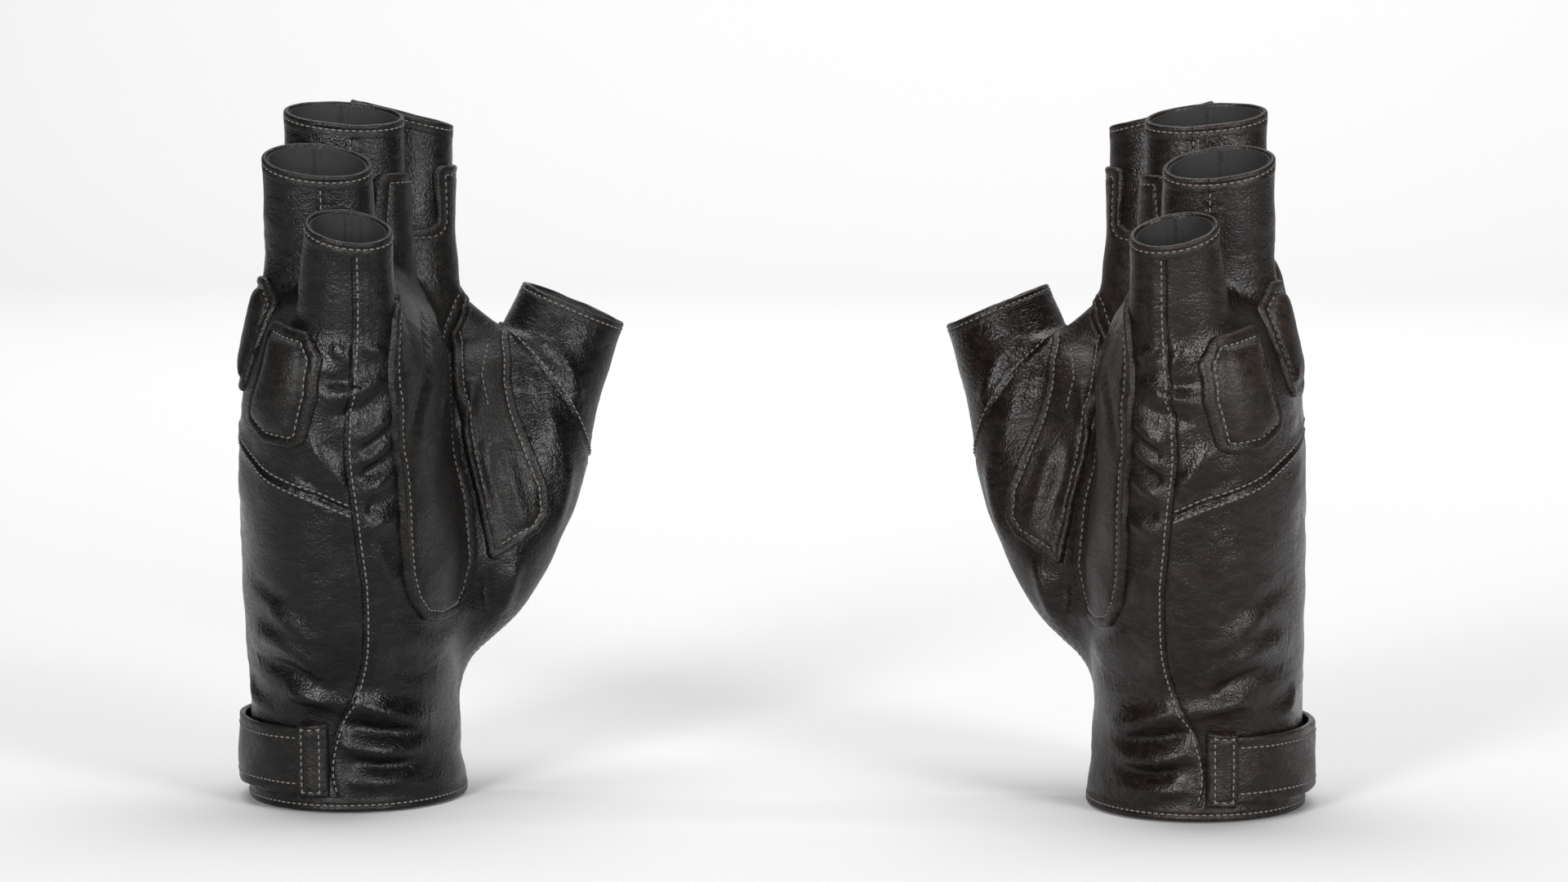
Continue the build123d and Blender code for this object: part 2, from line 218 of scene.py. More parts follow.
def glove_field(p):
    """Distance from the glove's outer face, with the digits run past their rims."""
    fingers = None
    for name, sections in FINGERS.items():
        finger = np.maximum(level_field(sections, p), -RIM_SPARE - below_rim(name, p))
        fingers = finger if fingers is None else smooth_min(fingers, finger, 2.0)
    body = level_field(((FOOT,) + BODY[0][1:],) + BODY, p)
    hand = smooth_min(body, fingers, 4.0)
    thumb = smooth_min(thumb_field(p), level_field(WEB, p), 6.0)
    whole = smooth_min(hand, thumb, 8.0)
    (x, y, z), (wide, tall) = PALM_HOLLOW, PALM_HOLLOW_SIZE
    hollow = bump(p[..., 1] - y, wide) * bump(p[..., 2] - z, tall) * ease((p[..., 0] - x) / 12)
    return whole + PALM_HOLLOW_DEPTH * hollow


class Grid:
    """The field sampled on a grid, with its value and slope read anywhere inside."""

    def __init__(self, low, high, step):
        self.low = np.array(low, float)
        self.step = step
        axes = [np.arange(a, b + step, step) for a, b in zip(low, high)]
        points = np.stack(np.meshgrid(*axes, indexing="ij"), axis=-1)
        self.values = glove_field(points)
        self.slopes = np.stack(np.gradient(self.values, step), axis=-1)

    def read(self, table, p):
        at = (p - self.low) / self.step
        top = np.array(self.values.shape) - 2
        i = np.clip(np.floor(at).astype(int), 0, top)
        t = np.clip(at - i, 0.0, 1.0)
        total = 0.0
        for corner in range(8):
            bits = np.array([(corner >> k) & 1 for k in range(3)])
            weight = np.prod(np.where(bits, t, 1 - t), axis=1)
            j = i + bits
            sample = table[j[:, 0], j[:, 1], j[:, 2]]
            total = total + (sample.T * weight).T
        return total

    def value(self, p):
        return self.read(self.values, p)

    def normal(self, p):
        return unit(self.read(self.slopes, p))

    def settle(self, p, level=0.0, rounds=3):
        """Moves points onto the surface at a distance off the outer face."""
        for _ in range(rounds):
            slope = self.read(self.slopes, p)
            size = np.maximum(np.linalg.norm(slope, axis=1), 0.3)
            p = p - slope * ((self.value(p) - level) / size ** 2)[:, None]
        return p


def surface_net(grid, level=0.0):
    """Triangles over the grid's surface at a level."""
    v = grid.values - level
    inside = v < 0
    shape = np.array(v.shape) - 1
    total = np.zeros((*shape, 3))
    count = np.zeros(shape)
    corners = [np.array([(c >> k) & 1 for k in range(3)]) for c in range(8)]

    def part(array, bits):
        return array[bits[0]:bits[0] + shape[0], bits[1]:bits[1] + shape[1], bits[2]:bits[2] + shape[2]]

    for a in range(8):
        for k in range(3):
            if (a >> k) & 1:
                continue
            low, high = corners[a], corners[a | (1 << k)]
            va, vb = part(v, low), part(v, high)
            cross = part(inside, low) != part(inside, high)
            t = np.where(cross, va / np.where(cross, va - vb, 1.0), 0.0)
            for axis in range(3):
                where = low[axis] + (t if axis == k else 0.0)
                total[..., axis] += np.where(cross, where, 0.0)
            count += cross
    cells = np.argwhere(count > 0)
    index = np.full(shape, -1)
    index[tuple(cells.T)] = np.arange(len(cells))
    share = total[tuple(cells.T)] / count[tuple(cells.T)][:, None]
    points = grid.low + (cells + share) * grid.step
    faces = []
    for k in range(3):
        i, j = (k + 1) % 3, (k + 2) % 3
        size = list(v.shape)
        size[k] -= 1
        ahead = tuple(slice(1, None) if m == k else slice(0, size[m]) for m in range(3))
        here = tuple(slice(0, size[m]) for m in range(3))
        crossing = np.argwhere(inside[here] != inside[ahead])
        crossing = crossing[(crossing[:, i] > 0) & (crossing[:, j] > 0)]
        crossing = crossing[(crossing[:, i] < shape[i]) & (crossing[:, j] < shape[j])]
        quad = []
        for di, dj in ((-1, -1), (0, -1), (0, 0), (-1, 0)):
            cell = crossing.copy()
            cell[:, i] += di
            cell[:, j] += dj
            quad.append(index[tuple(cell.T)])
        quad = np.stack(quad, axis=1)
        flip = ~inside[tuple(crossing.T)]
        quad[flip] = quad[flip][:, ::-1]
        faces.append(quad)
    quads = np.concatenate(faces)
    near = np.linalg.norm(points[quads[:, 0]] - points[quads[:, 2]], axis=1)
    far = np.linalg.norm(points[quads[:, 1]] - points[quads[:, 3]], axis=1)
    short = (near <= far)[:, None]
    first = np.where(short, quads[:, [0, 1, 2]], quads[:, [0, 1, 3]])
    second = np.where(short, quads[:, [0, 2, 3]], quads[:, [1, 2, 3]])
    return points, np.concatenate([first, second])


# ---------------------------------------------------------------- seams, rims and outlines

# The side seam's x at rising heights, and the arched seam's height at angles round the back.
SIDE_SEAM = (
    (-5.0, 2.6), (0.0, 1.4), (10.0, -1.2), (22.0, 1.2), (34.0, 7.0), (52.0, 9.9), (80.0, 8.6),
    (98.0, 7.2), (115.0, 9.0), (150.0, 10.5), (190.0, 10.5),
)
BACK_SEAM = (
    (-130.0, 76.0), (-101.0, 81.0), (-91.0, 84.0), (-79.0, 87.0), (-67.0, 90.0), (-56.0, 93.5),
    (-40.0, 97.5), (0.0, 101.5), (40.0, 99.5), (80.0, 90.0), (105.0, 83.0), (130.0, 76.0),
)
SIDE_GROOVE = -0.8              # bottom of the side seam's groove, off the seam's line
BACK_AXIS_Y = -15.0             # the arched seam's angles are measured round this y
BACK_LEAN = 0.92                # distance from the arched seam for each millimetre above it
HEM = 3.6                      # height of the folded binding round the wrist and the rims
SKIN_TOP = HEM - 0.25          # the leather stops this far under a rim, inside the binding
# Patches and pads: outlines as in the solids.
PALM_PATCH = (
    (-25.0, 49.3), (-33.0, 50.6), (-38.5, 55.5), (-42.0, 62.0), (-46.0, 75.0), (-48.5, 90.0),
    (-52.0, 101.5), (-54.5, 113.0), (-54.0, 131.0), (-46.0, 141.0), (-17.5, 148.0), (-17.0, 166.5),
    (1.5, 166.5), (1.5, 151.0), (10.0, 151.0), (10.0, 167.5), (31.0, 167.5), (31.0, 140.0),
    (14.0, 130.0), (10.0, 121.0), (2.0, 113.5), (-1.6, 106.0), (-2.0, 94.0), (-2.0, 78.0), (-2.6, 62.0),
    (-5.0, 53.8), (-11.0, 49.8),
)
THENAR_PATCH = (
    (24.2, 138.0), (23.6, 124.0), (24.2, 117.0), (25.4, 109.0), (27.0, 101.0), (29.3, 91.0),
    (32.0, 80.0), (34.4, 69.0), (35.2, 61.8), (47.5, 69.3), (50.3, 74.0), (50.0, 82.0), (47.8, 88.0),
    (45.0, 95.0), (42.0, 102.0), (40.0, 109.0), (39.6, 115.0), (38.0, 122.0), (34.0, 127.5),
    (30.5, 131.5), (28.0, 138.0),
)
PAD_OUTLINE = (
    (-8.0, 16.0), (9.5, 13.5), (13.0, 7.0), (12.6, -3.0), (8.5, -15.0), (5.0, -16.5), (-4.0, -15.5),
    (-12.3, -11.0), (-12.6, -7.0), (-8.6, 2.0),
)
PADS = {
    "index": ((-8.0, 15.0, 127.0), (-0.93, 0.36, 0.1), 26.0),
    "middle": ((-20.0, -6.0, 133.0), (-0.98, 0.02, 0.17), 16.0),
    "ring": ((-21.5, -28.4, 125.5), (-0.95, -0.28, 0.16), 8.0),
    "pinky": ((-9.0, -52.0, 114.0), (-0.75, -0.66, 0.0), 0.0),
}


# Vertical seam on the little-finger side of each finger, as its x. The little finger's own seam is
# the side seam, run on.
FINGER_SEAMS = (("ring", -2.0), ("middle", 2.0), ("index", 9.0))


def centre_at(name, height):
    sections = FINGERS[name]
    levels = [s[0] for s in sections]
    return tuple(float(np.interp(height, levels, [s[k] for s in sections])) for k in (1, 2))


def rim_frame(name):
    """The rim plane's origin and two directions in it, and the digit's own direction there."""
    if name == "thumb":
        slope_x, slope_y = THUMB_RIM_SLOPES
        origin, along = THUMB_RIM_AT, unit(THUMB[4][1])
    else:
        height, slope_x, slope_y = RIMS[name]
        x, y = centre_at(name, height)
        low_x, low_y = centre_at(name, height - 12)
        origin, along = (x, y, height), unit((x - low_x, y - low_y, 12.0))
    return np.array(origin), np.array((1.0, 0.0, slope_x)), np.array((0.0, 1.0, slope_y)), along


def root_frame(name):
    """A point of the plane where the stall starts, and the plane's direction."""
    if name == "thumb":
        return np.array(THUMB_SEAM_AT), unit(THUMB_SEAM_NORMAL)
    x, y = centre_at(name, ROOTS[name])
    rim_y = centre_at(name, RIMS[name][0])[1]
    return np.array((x, y, ROOTS[name])), unit((0.0, rim_y - y, RIMS[name][0] - ROOTS[name]))


def side_seam_x(height):
    return read_table(SIDE_SEAM, height, (1,))[0]


def side_offset(p):
    """How far a point is on the palm side of the side seam."""
    return p[:, 0] - side_seam_x(p[:, 2])


def back_seam_height(turn):
    return read_table(BACK_SEAM, turn, (1,))[0]


def back_offset(p):
    """How far a point is above the arched seam on the back."""
    turn = np.degrees(np.arctan2(p[:, 1] - BACK_AXIS_Y, -p[:, 0]))
    return BACK_LEAN * (p[:, 2] - back_seam_height(turn))


def below_rim(name, p):
    """Depth under a digit's rim, measured along the digit."""
    origin, u, v, along = rim_frame(name)
    normal = np.cross(u, v)
    return -((p - origin) @ normal) / (along @ normal)


def above_root(name, p):
    origin, normal = root_frame(name)
    return (p - origin) @ normal


def digit_fields(p):
    fields = [level_field(FINGERS[name], p) for name in DIGITS[:4]]
    return np.stack([*fields, thumb_field(p)])


def digit_value(name, p, fields):
    """Positive where a point belongs to a digit's stall."""
    k = DIGITS.index(name)
    others = np.min(np.delete(fields, k, axis=0), axis=0)
    return np.minimum(above_root(name, p), others - fields[k])


def rounded(points, radius, steps=5):
    """An outline with its corners rounded, as many points."""
    points = np.array(points, float)
    out = []
    for i, corner in enumerate(points):
        a, b = unit(points[i - 1] - corner), unit(points[(i + 1) % len(points)] - corner)
        half = math.acos(float(np.clip(a @ b, -1, 1))) / 2
        if half > 1.45:
            out.append(corner)
            continue
        reach = radius / math.tan(half)
        centre = corner + unit(a + b) * radius / math.sin(half)
        start, end = corner + a * reach - centre, corner + b * reach - centre
        for t in np.linspace(0, 1, steps):
            arm = unit((1 - t) * start + t * end) * radius
            out.append(centre + arm)
    return np.array(out)


def outline_distance(outline, q):
    """Distance inside a closed outline, negative outside."""
    a, b = outline, np.roll(outline, -1, axis=0)
    out = np.empty(len(q))
    for chunk in np.array_split(np.arange(len(q)), max(1, len(q) // 20000)):
        p = q[chunk][:, None, :]
        ab = b - a
        t = np.clip(((p - a) * ab).sum(-1) / (ab ** 2).sum(-1), 0, 1)
        gap = np.linalg.norm(p - a - t[..., None] * ab, axis=-1).min(1)
        over = (a[:, 1] > p[..., 1]) != (b[:, 1] > p[..., 1])
        rise = np.where(np.abs(ab[:, 1]) < 1e-9, 1e-9, ab[:, 1])
        x = a[:, 0] + (p[..., 1] - a[:, 1]) / rise * ab[:, 0]
        inside = ((over & (p[..., 0] < x)).sum(1) % 2) == 1
        out[chunk] = np.where(inside, gap, -gap)
    return out


SNAP = 0.22                     # a corner this near a cut, as a share of its edge, moves onto it


def edges_of(faces):
    return np.concatenate([faces[:, [0, 1]], faces[:, [1, 2]], faces[:, [2, 0]]])


def cut(points, faces, values, grid):
    """Splits triangles along the line where values is zero, so that edges run along it."""
    points, values = points.copy(), values.copy()
    edges, back = np.unique(np.sort(edges_of(faces), axis=1), axis=0, return_inverse=True)
    back = back.reshape(-1)
    a, b = edges.T

    def meeting():
        crossing = values[a] * values[b] < 0
        share = np.where(crossing, values[a] / np.where(crossing, values[a] - values[b], 1.0), 0.5)
        return crossing, share, points[a] + (points[b] - points[a]) * share[:, None]

    crossing, share, meet = meeting()
    for ends, near in ((a, share < SNAP), (b, share > 1 - SNAP)):
        chosen = np.where(crossing & near)[0]
        points[ends[chosen]] = meet[chosen]
        values[ends[chosen]] = 0.0
    crossing, _, meet = meeting()
    fresh = np.full(len(edges), -1)
    fresh[crossing] = len(points) + np.arange(crossing.sum())
    points = np.concatenate([points, grid.settle(meet[crossing])])
    side_edges = back.reshape(3, -1).T
    new = fresh[side_edges]
    count = (new >= 0).sum(1)
    out = [faces[count == 0]]
    for k in range(3):
        i, j, m = k, (k + 1) % 3, (k + 2) % 3
        one = (count == 1) & (new[:, k] >= 0)
        f, n = faces[one], new[one, k]
        out += [np.stack([f[:, i], n, f[:, m]], 1), np.stack([n, f[:, j], f[:, m]], 1)]
        two = (count == 2) & (new[:, k] >= 0) & (new[:, m] >= 0)
        f, n, o = faces[two], new[two, k], new[two, m]
        out += [np.stack([f[:, i], n, o], 1), np.stack([n, f[:, j], f[:, m]], 1),
                np.stack([n, f[:, m], o], 1)]
    return points, np.concatenate(out)


def numbered(faces):
    """The points that triangles use, and the triangles renumbered to that list."""
    used, back = np.unique(faces, return_inverse=True)
    return used, back.reshape(-1, 3)


def compact(points, faces):
    used, faces = numbered(faces)
    return points[used], faces


def face_normals(points, faces):
    """Normals as long as twice each triangle's area."""
    a, b, c = (points[faces[:, k]] for k in range(3))
    return np.cross(b - a, c - a)


def vertex_normals(points, faces):
    area = face_normals(points, faces)
    total = np.zeros_like(points)
    for k in range(3):
        np.add.at(total, faces[:, k], area)
    size = np.linalg.norm(total, axis=1, keepdims=True)
    return total / np.maximum(size, 1e-12)


# ---------------------------------------------------------------- folds, creases and grooves

# Folds of the leather: points along the fold, its half width and its height (below 0: a crease).
FOLDS = (
    # palm side, above the wrist
    (((3, -38, 30), (12, -34, 27), (22, -24, 23)), 2.8, 2.1),
    (((1, -37, 24), (10, -34, 21.5), (21, -24, 20)), 1.8, -1.6),
    (((2, -36, 19), (9, -34, 16), (21, -24, 16)), 2.5, 1.7),
    (((4, -36, 14), (12, -32, 12), (21, -24, 12.5)), 1.5, -1.4),
    (((2, -36, 9), (10, -33, 7), (20, -26, 7)), 2.6, 1.2),
    (((14, -40, 42), (20, -34, 37), (26, -22, 36)), 3.5, -1.0),
    (((16, -38, 50), (24, -28, 44), (30, -12, 44)), 3.2, 1.1),
    # back of the wrist and hand
    (((-14, -36, 31), (-6, -39, 31), (3, -38, 28)), 2.6, 1.7),
    (((-23, -30, 47), (-12, -42, 45), (-2, -42, 36)), 3.4, 1.7),
    (((-22, -28, 39), (-12, -38, 38), (-4, -40, 33)), 2.4, -1.6),
    (((-17, -42, 55), (-10, -45, 50), (-1, -46, 45)), 3.0, 0.9),
    (((-22, -34, 62), (-12, -44, 58), (-4, -47, 54)), 2.5, -0.7),
    (((-25, -20, 34), (-24, -24, 28), (-18, -32, 27)), 2.4, 0.8),
    # between the knuckle pad, the side seam and the palm patch
    (((-3, -59, 100), (2, -58, 93), (6, -57, 86)), 2.2, 1.3),
    (((-8, -57, 92), (-3, -58, 88), (2, -58, 84)), 1.8, -0.7),
    (((3, -60, 124), (6, -60, 122), (8, -60, 118)), 2.2, 1.0),
    (((0, -61, 116), (5, -60, 115), (9, -60, 115)), 1.5, -0.8),
    (((1, -61, 111), (8, -60, 112), (16, -56, 116)), 2.0, 1.3),
    (((3, -60, 106), (8, -59, 107), (15, -56, 110)), 1.5, -1.0),
    (((9, -57, 99), (12, -56, 102), (17, -53, 107)), 2.2, 1.2),
    (((9, -56, 96.5), (13, -55, 99), (17, -52, 103)), 1.6, -0.7),
    (((9, -56, 93.5), (13, -55, 96), (17, -52, 100)), 2.2, 1.2),
    (((9, -55, 90), (13, -54, 92.5), (18, -50, 96)), 1.8, -0.8),
    (((10, -55, 87), (13, -53, 88), (18, -49, 91)), 2.3, 1.2),
    (((10, -54, 82), (13, -52, 83), (17, -48, 85)), 1.8, -0.7),
    (((10, -53, 76), (14, -51, 78), (18, -47, 79)), 2.3, 1.1),
    (((12, -51, 74), (14, -47, 66), (18, -42, 59)), 2.6, 0.9),
    (((11, -59, 124), (14, -57, 122.5), (16, -55, 122)), 1.6, 1.0),
    # palm patch: hollows that run up to the fingers
    (((21, -19, 131), (22, -38, 113), (19, -46, 98)), 3.0, -1.4),
    (((22, -6, 134), (22, -18, 112), (21, -26, 96)), 3.2, 1.0),
    # thumb and web
    (((46, 20, 120), (53, 18, 114), (58, 20, 103)), 2.6, 1.0),
    (((36, 21, 122), (43, 20, 121), (50, 19, 117)), 2.3, 0.8),
    (((40, 24, 123), (49, 19, 117), (55, 18, 108)), 1.8, -0.7),
    (((43, 18, 115), (49, 13, 104), (55, 13, 86)), 3.2, 0.6),
    (((38, 5, 94), (41, 3, 83), (44, 3, 71)), 3.0, 1.0),
    (((35, 3, 96), (36, 1, 86), (40, 2, 74)), 2.4, -0.6),
    (((31, 7, 111), (30, 3, 104), (29, 0, 98)), 1.8, 1.1),
    (((55, 14, 88), (54, 13, 78), (50, 12, 68)), 3.0, 0.8),
    # heel of the thumb
    (((36, -1, 60), (35, 0, 55), (34, 3, 49)), 1.6, -0.9),
    (((43, 4, 63), (41, 3, 56), (38, 6, 47)), 2.4, 0.9),
)
FOLD_STRENGTH = 1.35
CREASE_SEED = 7.3


def bend(points, count=18):
    """Points along a smooth curve through three points."""
    a, b, c = (np.array(p, float) for p in points)
    middle = 2 * b - (a + c) / 2
    t = np.linspace(0, 1, count)[:, None]
    return (1 - t) ** 2 * a + 2 * t * (1 - t) * middle + t ** 2 * c


def ripple(p, stretch, scale, seed):
    """Smooth noise, from -1 to 1, with its own scale along each axis."""
    shift = Vector((seed, -seed, 2 * seed))
    q = p * np.array(stretch) / scale
    return np.array([noise.noise(Vector(row) + shift) for row in q.tolist()])


def fold_height(p, grid):
    total = np.zeros(len(p))
    for points, width, height in FOLDS:
        line = grid.settle(bend(points))
        near = np.where(np.linalg.norm(p - line[len(line) // 2], axis=1) < 40)[0]
        gap = np.linalg.norm(p[near][:, None, :] - line[None, :, :], axis=2)
        i = gap.argmin(1)
        taper = np.sin(np.pi * np.clip((i + 0.5) / len(line), 0, 1)) ** 0.7
        total[near] += FOLD_STRENGTH * height * bump(gap.min(1), width) * taper
    return total


def relief(p, grid, fields=None):
    """How far the worn leather stands off its plain shape."""
    if fields is None:
        fields = digit_fields(p)
    z = p[:, 2]
    nearest = fields.argmin(0)
    fade = ease((z - HEM) / 5)
    on_digit = np.zeros(len(p))
    for k, name in enumerate(DIGITS):
        mine = nearest == k
        fade = np.where(mine, fade * ease((below_rim(name, p) - HEM) / 5), fade)
        on_digit = np.where(mine, ease(above_root(name, p) / 12), on_digit)
    broad = ripple(p, (1, 1, 1.5), 17.0, CREASE_SEED)
    middle = 1 - 2 * np.abs(ripple(p, (0.7, 0.7, 1.7), 8.5, 2 * CREASE_SEED))
    fine = 1 - 2 * np.abs(ripple(p, (0.8, 0.8, 1.5), 4.2, 3 * CREASE_SEED))
    patch = ease(ripple(p, (1, 1, 1), 26.0, 4 * CREASE_SEED) * 1.5 + 0.5)
    height = 0.75 * broad + 0.2 * patch * middle + 0.06 * (0.35 + 0.65 * patch) * fine
    height = height * (1 - 0.55 * on_digit) + fold_height(p, grid)
    return height * fade + seam_relief(p, fields)


def seam_relief(p, fields):
    """Grooves where pieces of leather meet, with the edges rising a little beside them."""
    z = p[:, 2]
    nearest = fields.argmin(0)
    pinky = nearest == DIGITS.index("pinky")
    hand = z < 132
    near_side, far_side = hand & (p[:, 1] < -10), (p[:, 1] > 10) & hand & (p[:, 0] < 22)
    along = (near_side | pinky | far_side).astype(float)
    side = side_offset(p)
    groove = -0.8 * bump(side - SIDE_GROOVE, 0.5)
    height = along * (groove + 0.3 * bump(side - 1.9, 1.0) + 0.15 * bump(side + 2.4, 0.9))
    back = back_offset(p)
    behind = ease((SIDE_GROOVE - side) / 1.5) * (z < 110)
    height += behind * (-0.75 * bump(back, 0.5) + 0.2 * bump(np.abs(back) - 1.6, 0.8))
    for name, x in FINGER_SEAMS:
        k = DIGITS.index(name)
        centre_y = read_table(FINGERS[name], z, (2,))[0]
        mine = (nearest == k) & (p[:, 1] < centre_y) & (z > 120)
        gap = p[:, 0] - x
        height += mine * (-0.85 * bump(gap - 0.9, 0.55) + 0.25 * bump(gap + 1.4, 0.9))
    gap = above_root("thumb", p)
    thumb = (nearest == DIGITS.index("thumb")) | (gap > -6)
    height += thumb * (p[:, 0] > 30) * (-0.35 * bump(gap, 0.5) + 0.12 * bump(gap - 1.5, 0.9))
    return height


# ---------------------------------------------------------------- meshes

def inner_seam(name, p):
    """How far the seam allowance stands in from the lining, on the far side of a finger."""
    if name not in FINGERS:
        return np.zeros(len(p))
    cx, cy = read_table(FINGERS[name], p[:, 2], (1, 2))
    return (p[:, 1] > cy) * 1.4 * bump(p[:, 0] - cx + 1.5, 0.8)


def boundary(faces):
    """Edges with one face, in that face's direction."""
    edges = edges_of(faces)
    _, back, count = np.unique(
        np.sort(edges, axis=1), axis=0, return_inverse=True, return_counts=True)
    return edges[count[back.reshape(-1)] == 1]


def shell(outer, inner, faces, normals):
    """A closed skin between two layers that have the same triangles, with its corner normals."""
    n = len(outer)
    rim = boundary(faces)
    wall = np.concatenate([
        np.stack([rim[:, 1], rim[:, 0], rim[:, 0] + n], 1),
        np.stack([rim[:, 1], rim[:, 0] + n, rim[:, 1] + n], 1)])
    points = np.concatenate([outer, inner])
    every = np.concatenate([faces, faces[:, ::-1] + n, wall])
    flat = face_normals(points, wall)
    flat = flat / np.maximum(np.linalg.norm(flat, axis=1, keepdims=True), 1e-12)
    corners = np.concatenate([
        normals[faces], -normals[faces[:, ::-1]], np.repeat(flat[:, None, :], 3, axis=1)])
    return points, every, corners


def swept(rows, closed_sweep=True, caps=False):
    """A surface through rows of points (sweep, closed profile, 3), as triangles."""
    m, n = rows.shape[:2]
    index = np.arange(m * n).reshape(m, n)
    i = np.arange(m if closed_sweep else m - 1)
    around = (np.arange(n) + 1) % n
    a, b = index[i], index[(i + 1) % m]
    c, d = b[:, around], a[:, around]
    faces = np.concatenate([
        np.stack([a, b, c], -1).reshape(-1, 3), np.stack([a, c, d], -1).reshape(-1, 3)])
    points = rows.reshape(-1, 3)
    if caps:
        hubs = len(points) + np.arange(2)
        points = np.concatenate([points, rows[[0, -1]].mean(1)])
        start = np.stack([index[0], index[0][around], np.full(n, hubs[0])], 1)
        end = np.stack([index[-1][around], index[-1], np.full(n, hubs[1])], 1)
        faces = np.concatenate([faces, start, end])
    return points, faces


def outward(points, faces):
    """Turns a closed mesh's triangles to face out."""
    a, b, c = (points[faces[:, k]] for k in range(3))
    volume = np.einsum("ij,ij->i", a, np.cross(b, c)).sum()
    return faces if volume > 0 else faces[:, ::-1]


PIECES = []


def piece(name, points, faces, slot, corners=None, nodes=(), digit=None, flap=False, padded=False):
    """Notes one piece of the glove, to be made for both hands.

    A piece with a digit's plain name, or a flap, stays where it is made, on no body. A digit's name
    with "!" after it, or a flap of "!", means that it rides on that body whole. With neither, it rides on
    the hand.
    """
    PIECES.append(dict(
        name=name, points=points, faces=faces, slot=slot, corners=corners, nodes=nodes, digit=digit,
        flap=flap, padded=padded))


# ---------------------------------------------------------------- the leather skin

def build_skin(points, faces, grid):
    """Panels and stalls of the hand, cut from one surface, with their lining."""
    for name in DIGITS:
        fields = digit_fields(points)
        points, faces = cut(points, faces, digit_value(name, points, fields), grid)
    levels = (SKIN_TOP, LINING_TOP)
    for name in DIGITS:
        for level in levels:
            own = digit_value(name, points, digit_fields(points))
            depth = np.where(own > -1, below_rim(name, points) - level, 50.0)
            points, faces = cut(points, faces, depth, grid)
    for level in levels:
        points, faces = cut(points, faces, points[:, 2] - level, grid)
    for offset in (-0.3, SIDE_GROOVE, -1.3):
        points, faces = cut(points, faces, side_offset(points) - offset, grid)
    for offset in (-0.5, 0.0, 0.5):
        points, faces = cut(points, faces, back_offset(points) - offset, grid)
    middle = points[faces].mean(1)
    fields = digit_fields(middle)
    belongs = np.full(len(faces), -1)
    depth = middle[:, 2]
    for k, name in enumerate(DIGITS):
        mine = digit_value(name, middle, fields) > 0
        belongs[mine] = k
        depth = np.where(mine, below_rim(name, middle), depth)
    keep = depth > SKIN_TOP
    height = relief(points, grid)
    outer = points + grid.normal(points) * height[:, None]
    normals = vertex_normals(outer, faces)
    smooth = grid.normal(points)
    palm = side_offset(middle) > SIDE_GROOVE
    low = back_offset(middle) < 0
    parts = {
        "palm_panel": (belongs < 0) & palm,
        "back_lower_panel": (belongs < 0) & ~palm & low,
        "back_upper_panel": (belongs < 0) & ~palm & ~low,
    }
    for k, name in enumerate(DIGITS):
        parts[f"{name}_stall"] = belongs == k
    for name, chosen in parts.items():
        digit = name[:-len("_stall")] if name.endswith("_stall") else None
        used, local = numbered(faces[chosen & keep])
        top = outer[used]
        under = top - smooth[used] * LEATHER
        p, f, corners = shell(top, under, local, normals[used])
        piece(f"{name}_leather", p, f, "leather", corners, (name,), digit)
    linings = {"palm": (belongs < 0) & palm, "back": (belongs < 0) & ~palm}
    linings.update({name: belongs == k for k, name in enumerate(DIGITS)})
    for name, chosen in linings.items():
        used, local = numbered(faces[chosen & (depth > LINING_TOP)])
        n = smooth[used]
        base = points[used] + n * (LINING_RELIEF * height[used])[:, None]
        top = base - n * (LINING_DEPTH + inner_seam(name, points[used]))[:, None]
        p, f, corners = shell(top, top - n * LINING, local, vertex_normals(top, local))
        piece(f"{name}_lining", p, f, "lining", corners, (), name if name in DIGITS else None)


# ---------------------------------------------------------------- patches and pads

PATCH = 1.25                    # thickness of a sewn-on patch
PATCH_ROW = 2.7                 # its stitch row, in from its edge
PATCH_CUTS = (0.0, 0.25, 0.9, 2.2, PATCH_ROW, 3.2)       # edges run at these depths inside it
PATCH_GAP = 0.3                 # between the palm patch and the thenar patch
TAB_LOW = 120.0                 # a patch is split between hand and fingers above this height
EDGE_ROLL = 0.9                 # a patch's or pad's edge is rounded over this width
OVERLAY_SINK = 0.5              # a patch or pad goes this far into the leather under it
OVERLAY_LIFT = 0.12             # and its edge starts this far off the leather
OUTSIDE = -50.0                 # a distance for points that are nowhere near an outline
PAD = 3.0                       # thickness of a knuckle pad
PAD_BORDER = 1.15               # and of its flat border
PAD_CROWN = 2.6                 # how soon the crown reaches its height
PAD_ROW = 3.0                   # a pad's stitch row, in from its edge
FOAM_INSET = 3.6                # the foam starts this far in from a pad's edge
PAD_CUTS = (0.0, 0.25, 0.9, 2.4, PAD_ROW, 3.6)
PAD_TILT = 0.38                 # a pad stops where the leather turns from it by more than this cosine
PAD_TURN = 14.0                 # and about this many millimetres are taken to turn by one
PAD_CALM = 0.6                  # share of the leather's folds that shows through a pad


def rolled(depth, width):
    """Rises from 0 at an edge to 1 at a width inside it, as a quarter of a circle."""
    return np.sqrt(np.clip(1 - (1 - np.clip(depth / width, 0, 1)) ** 2, 0, 1))


def patch_height(depth):
    """A sewn-on patch: a worn rounded edge and a shallow dip along its stitches."""
    edge = PATCH * rolled(depth, EDGE_ROLL)
    dip = 0.42 * bump(depth - PATCH_ROW, 0.55)
    return OVERLAY_LIFT + edge * (1 - 0.06 * ease(depth / 6)) - dip


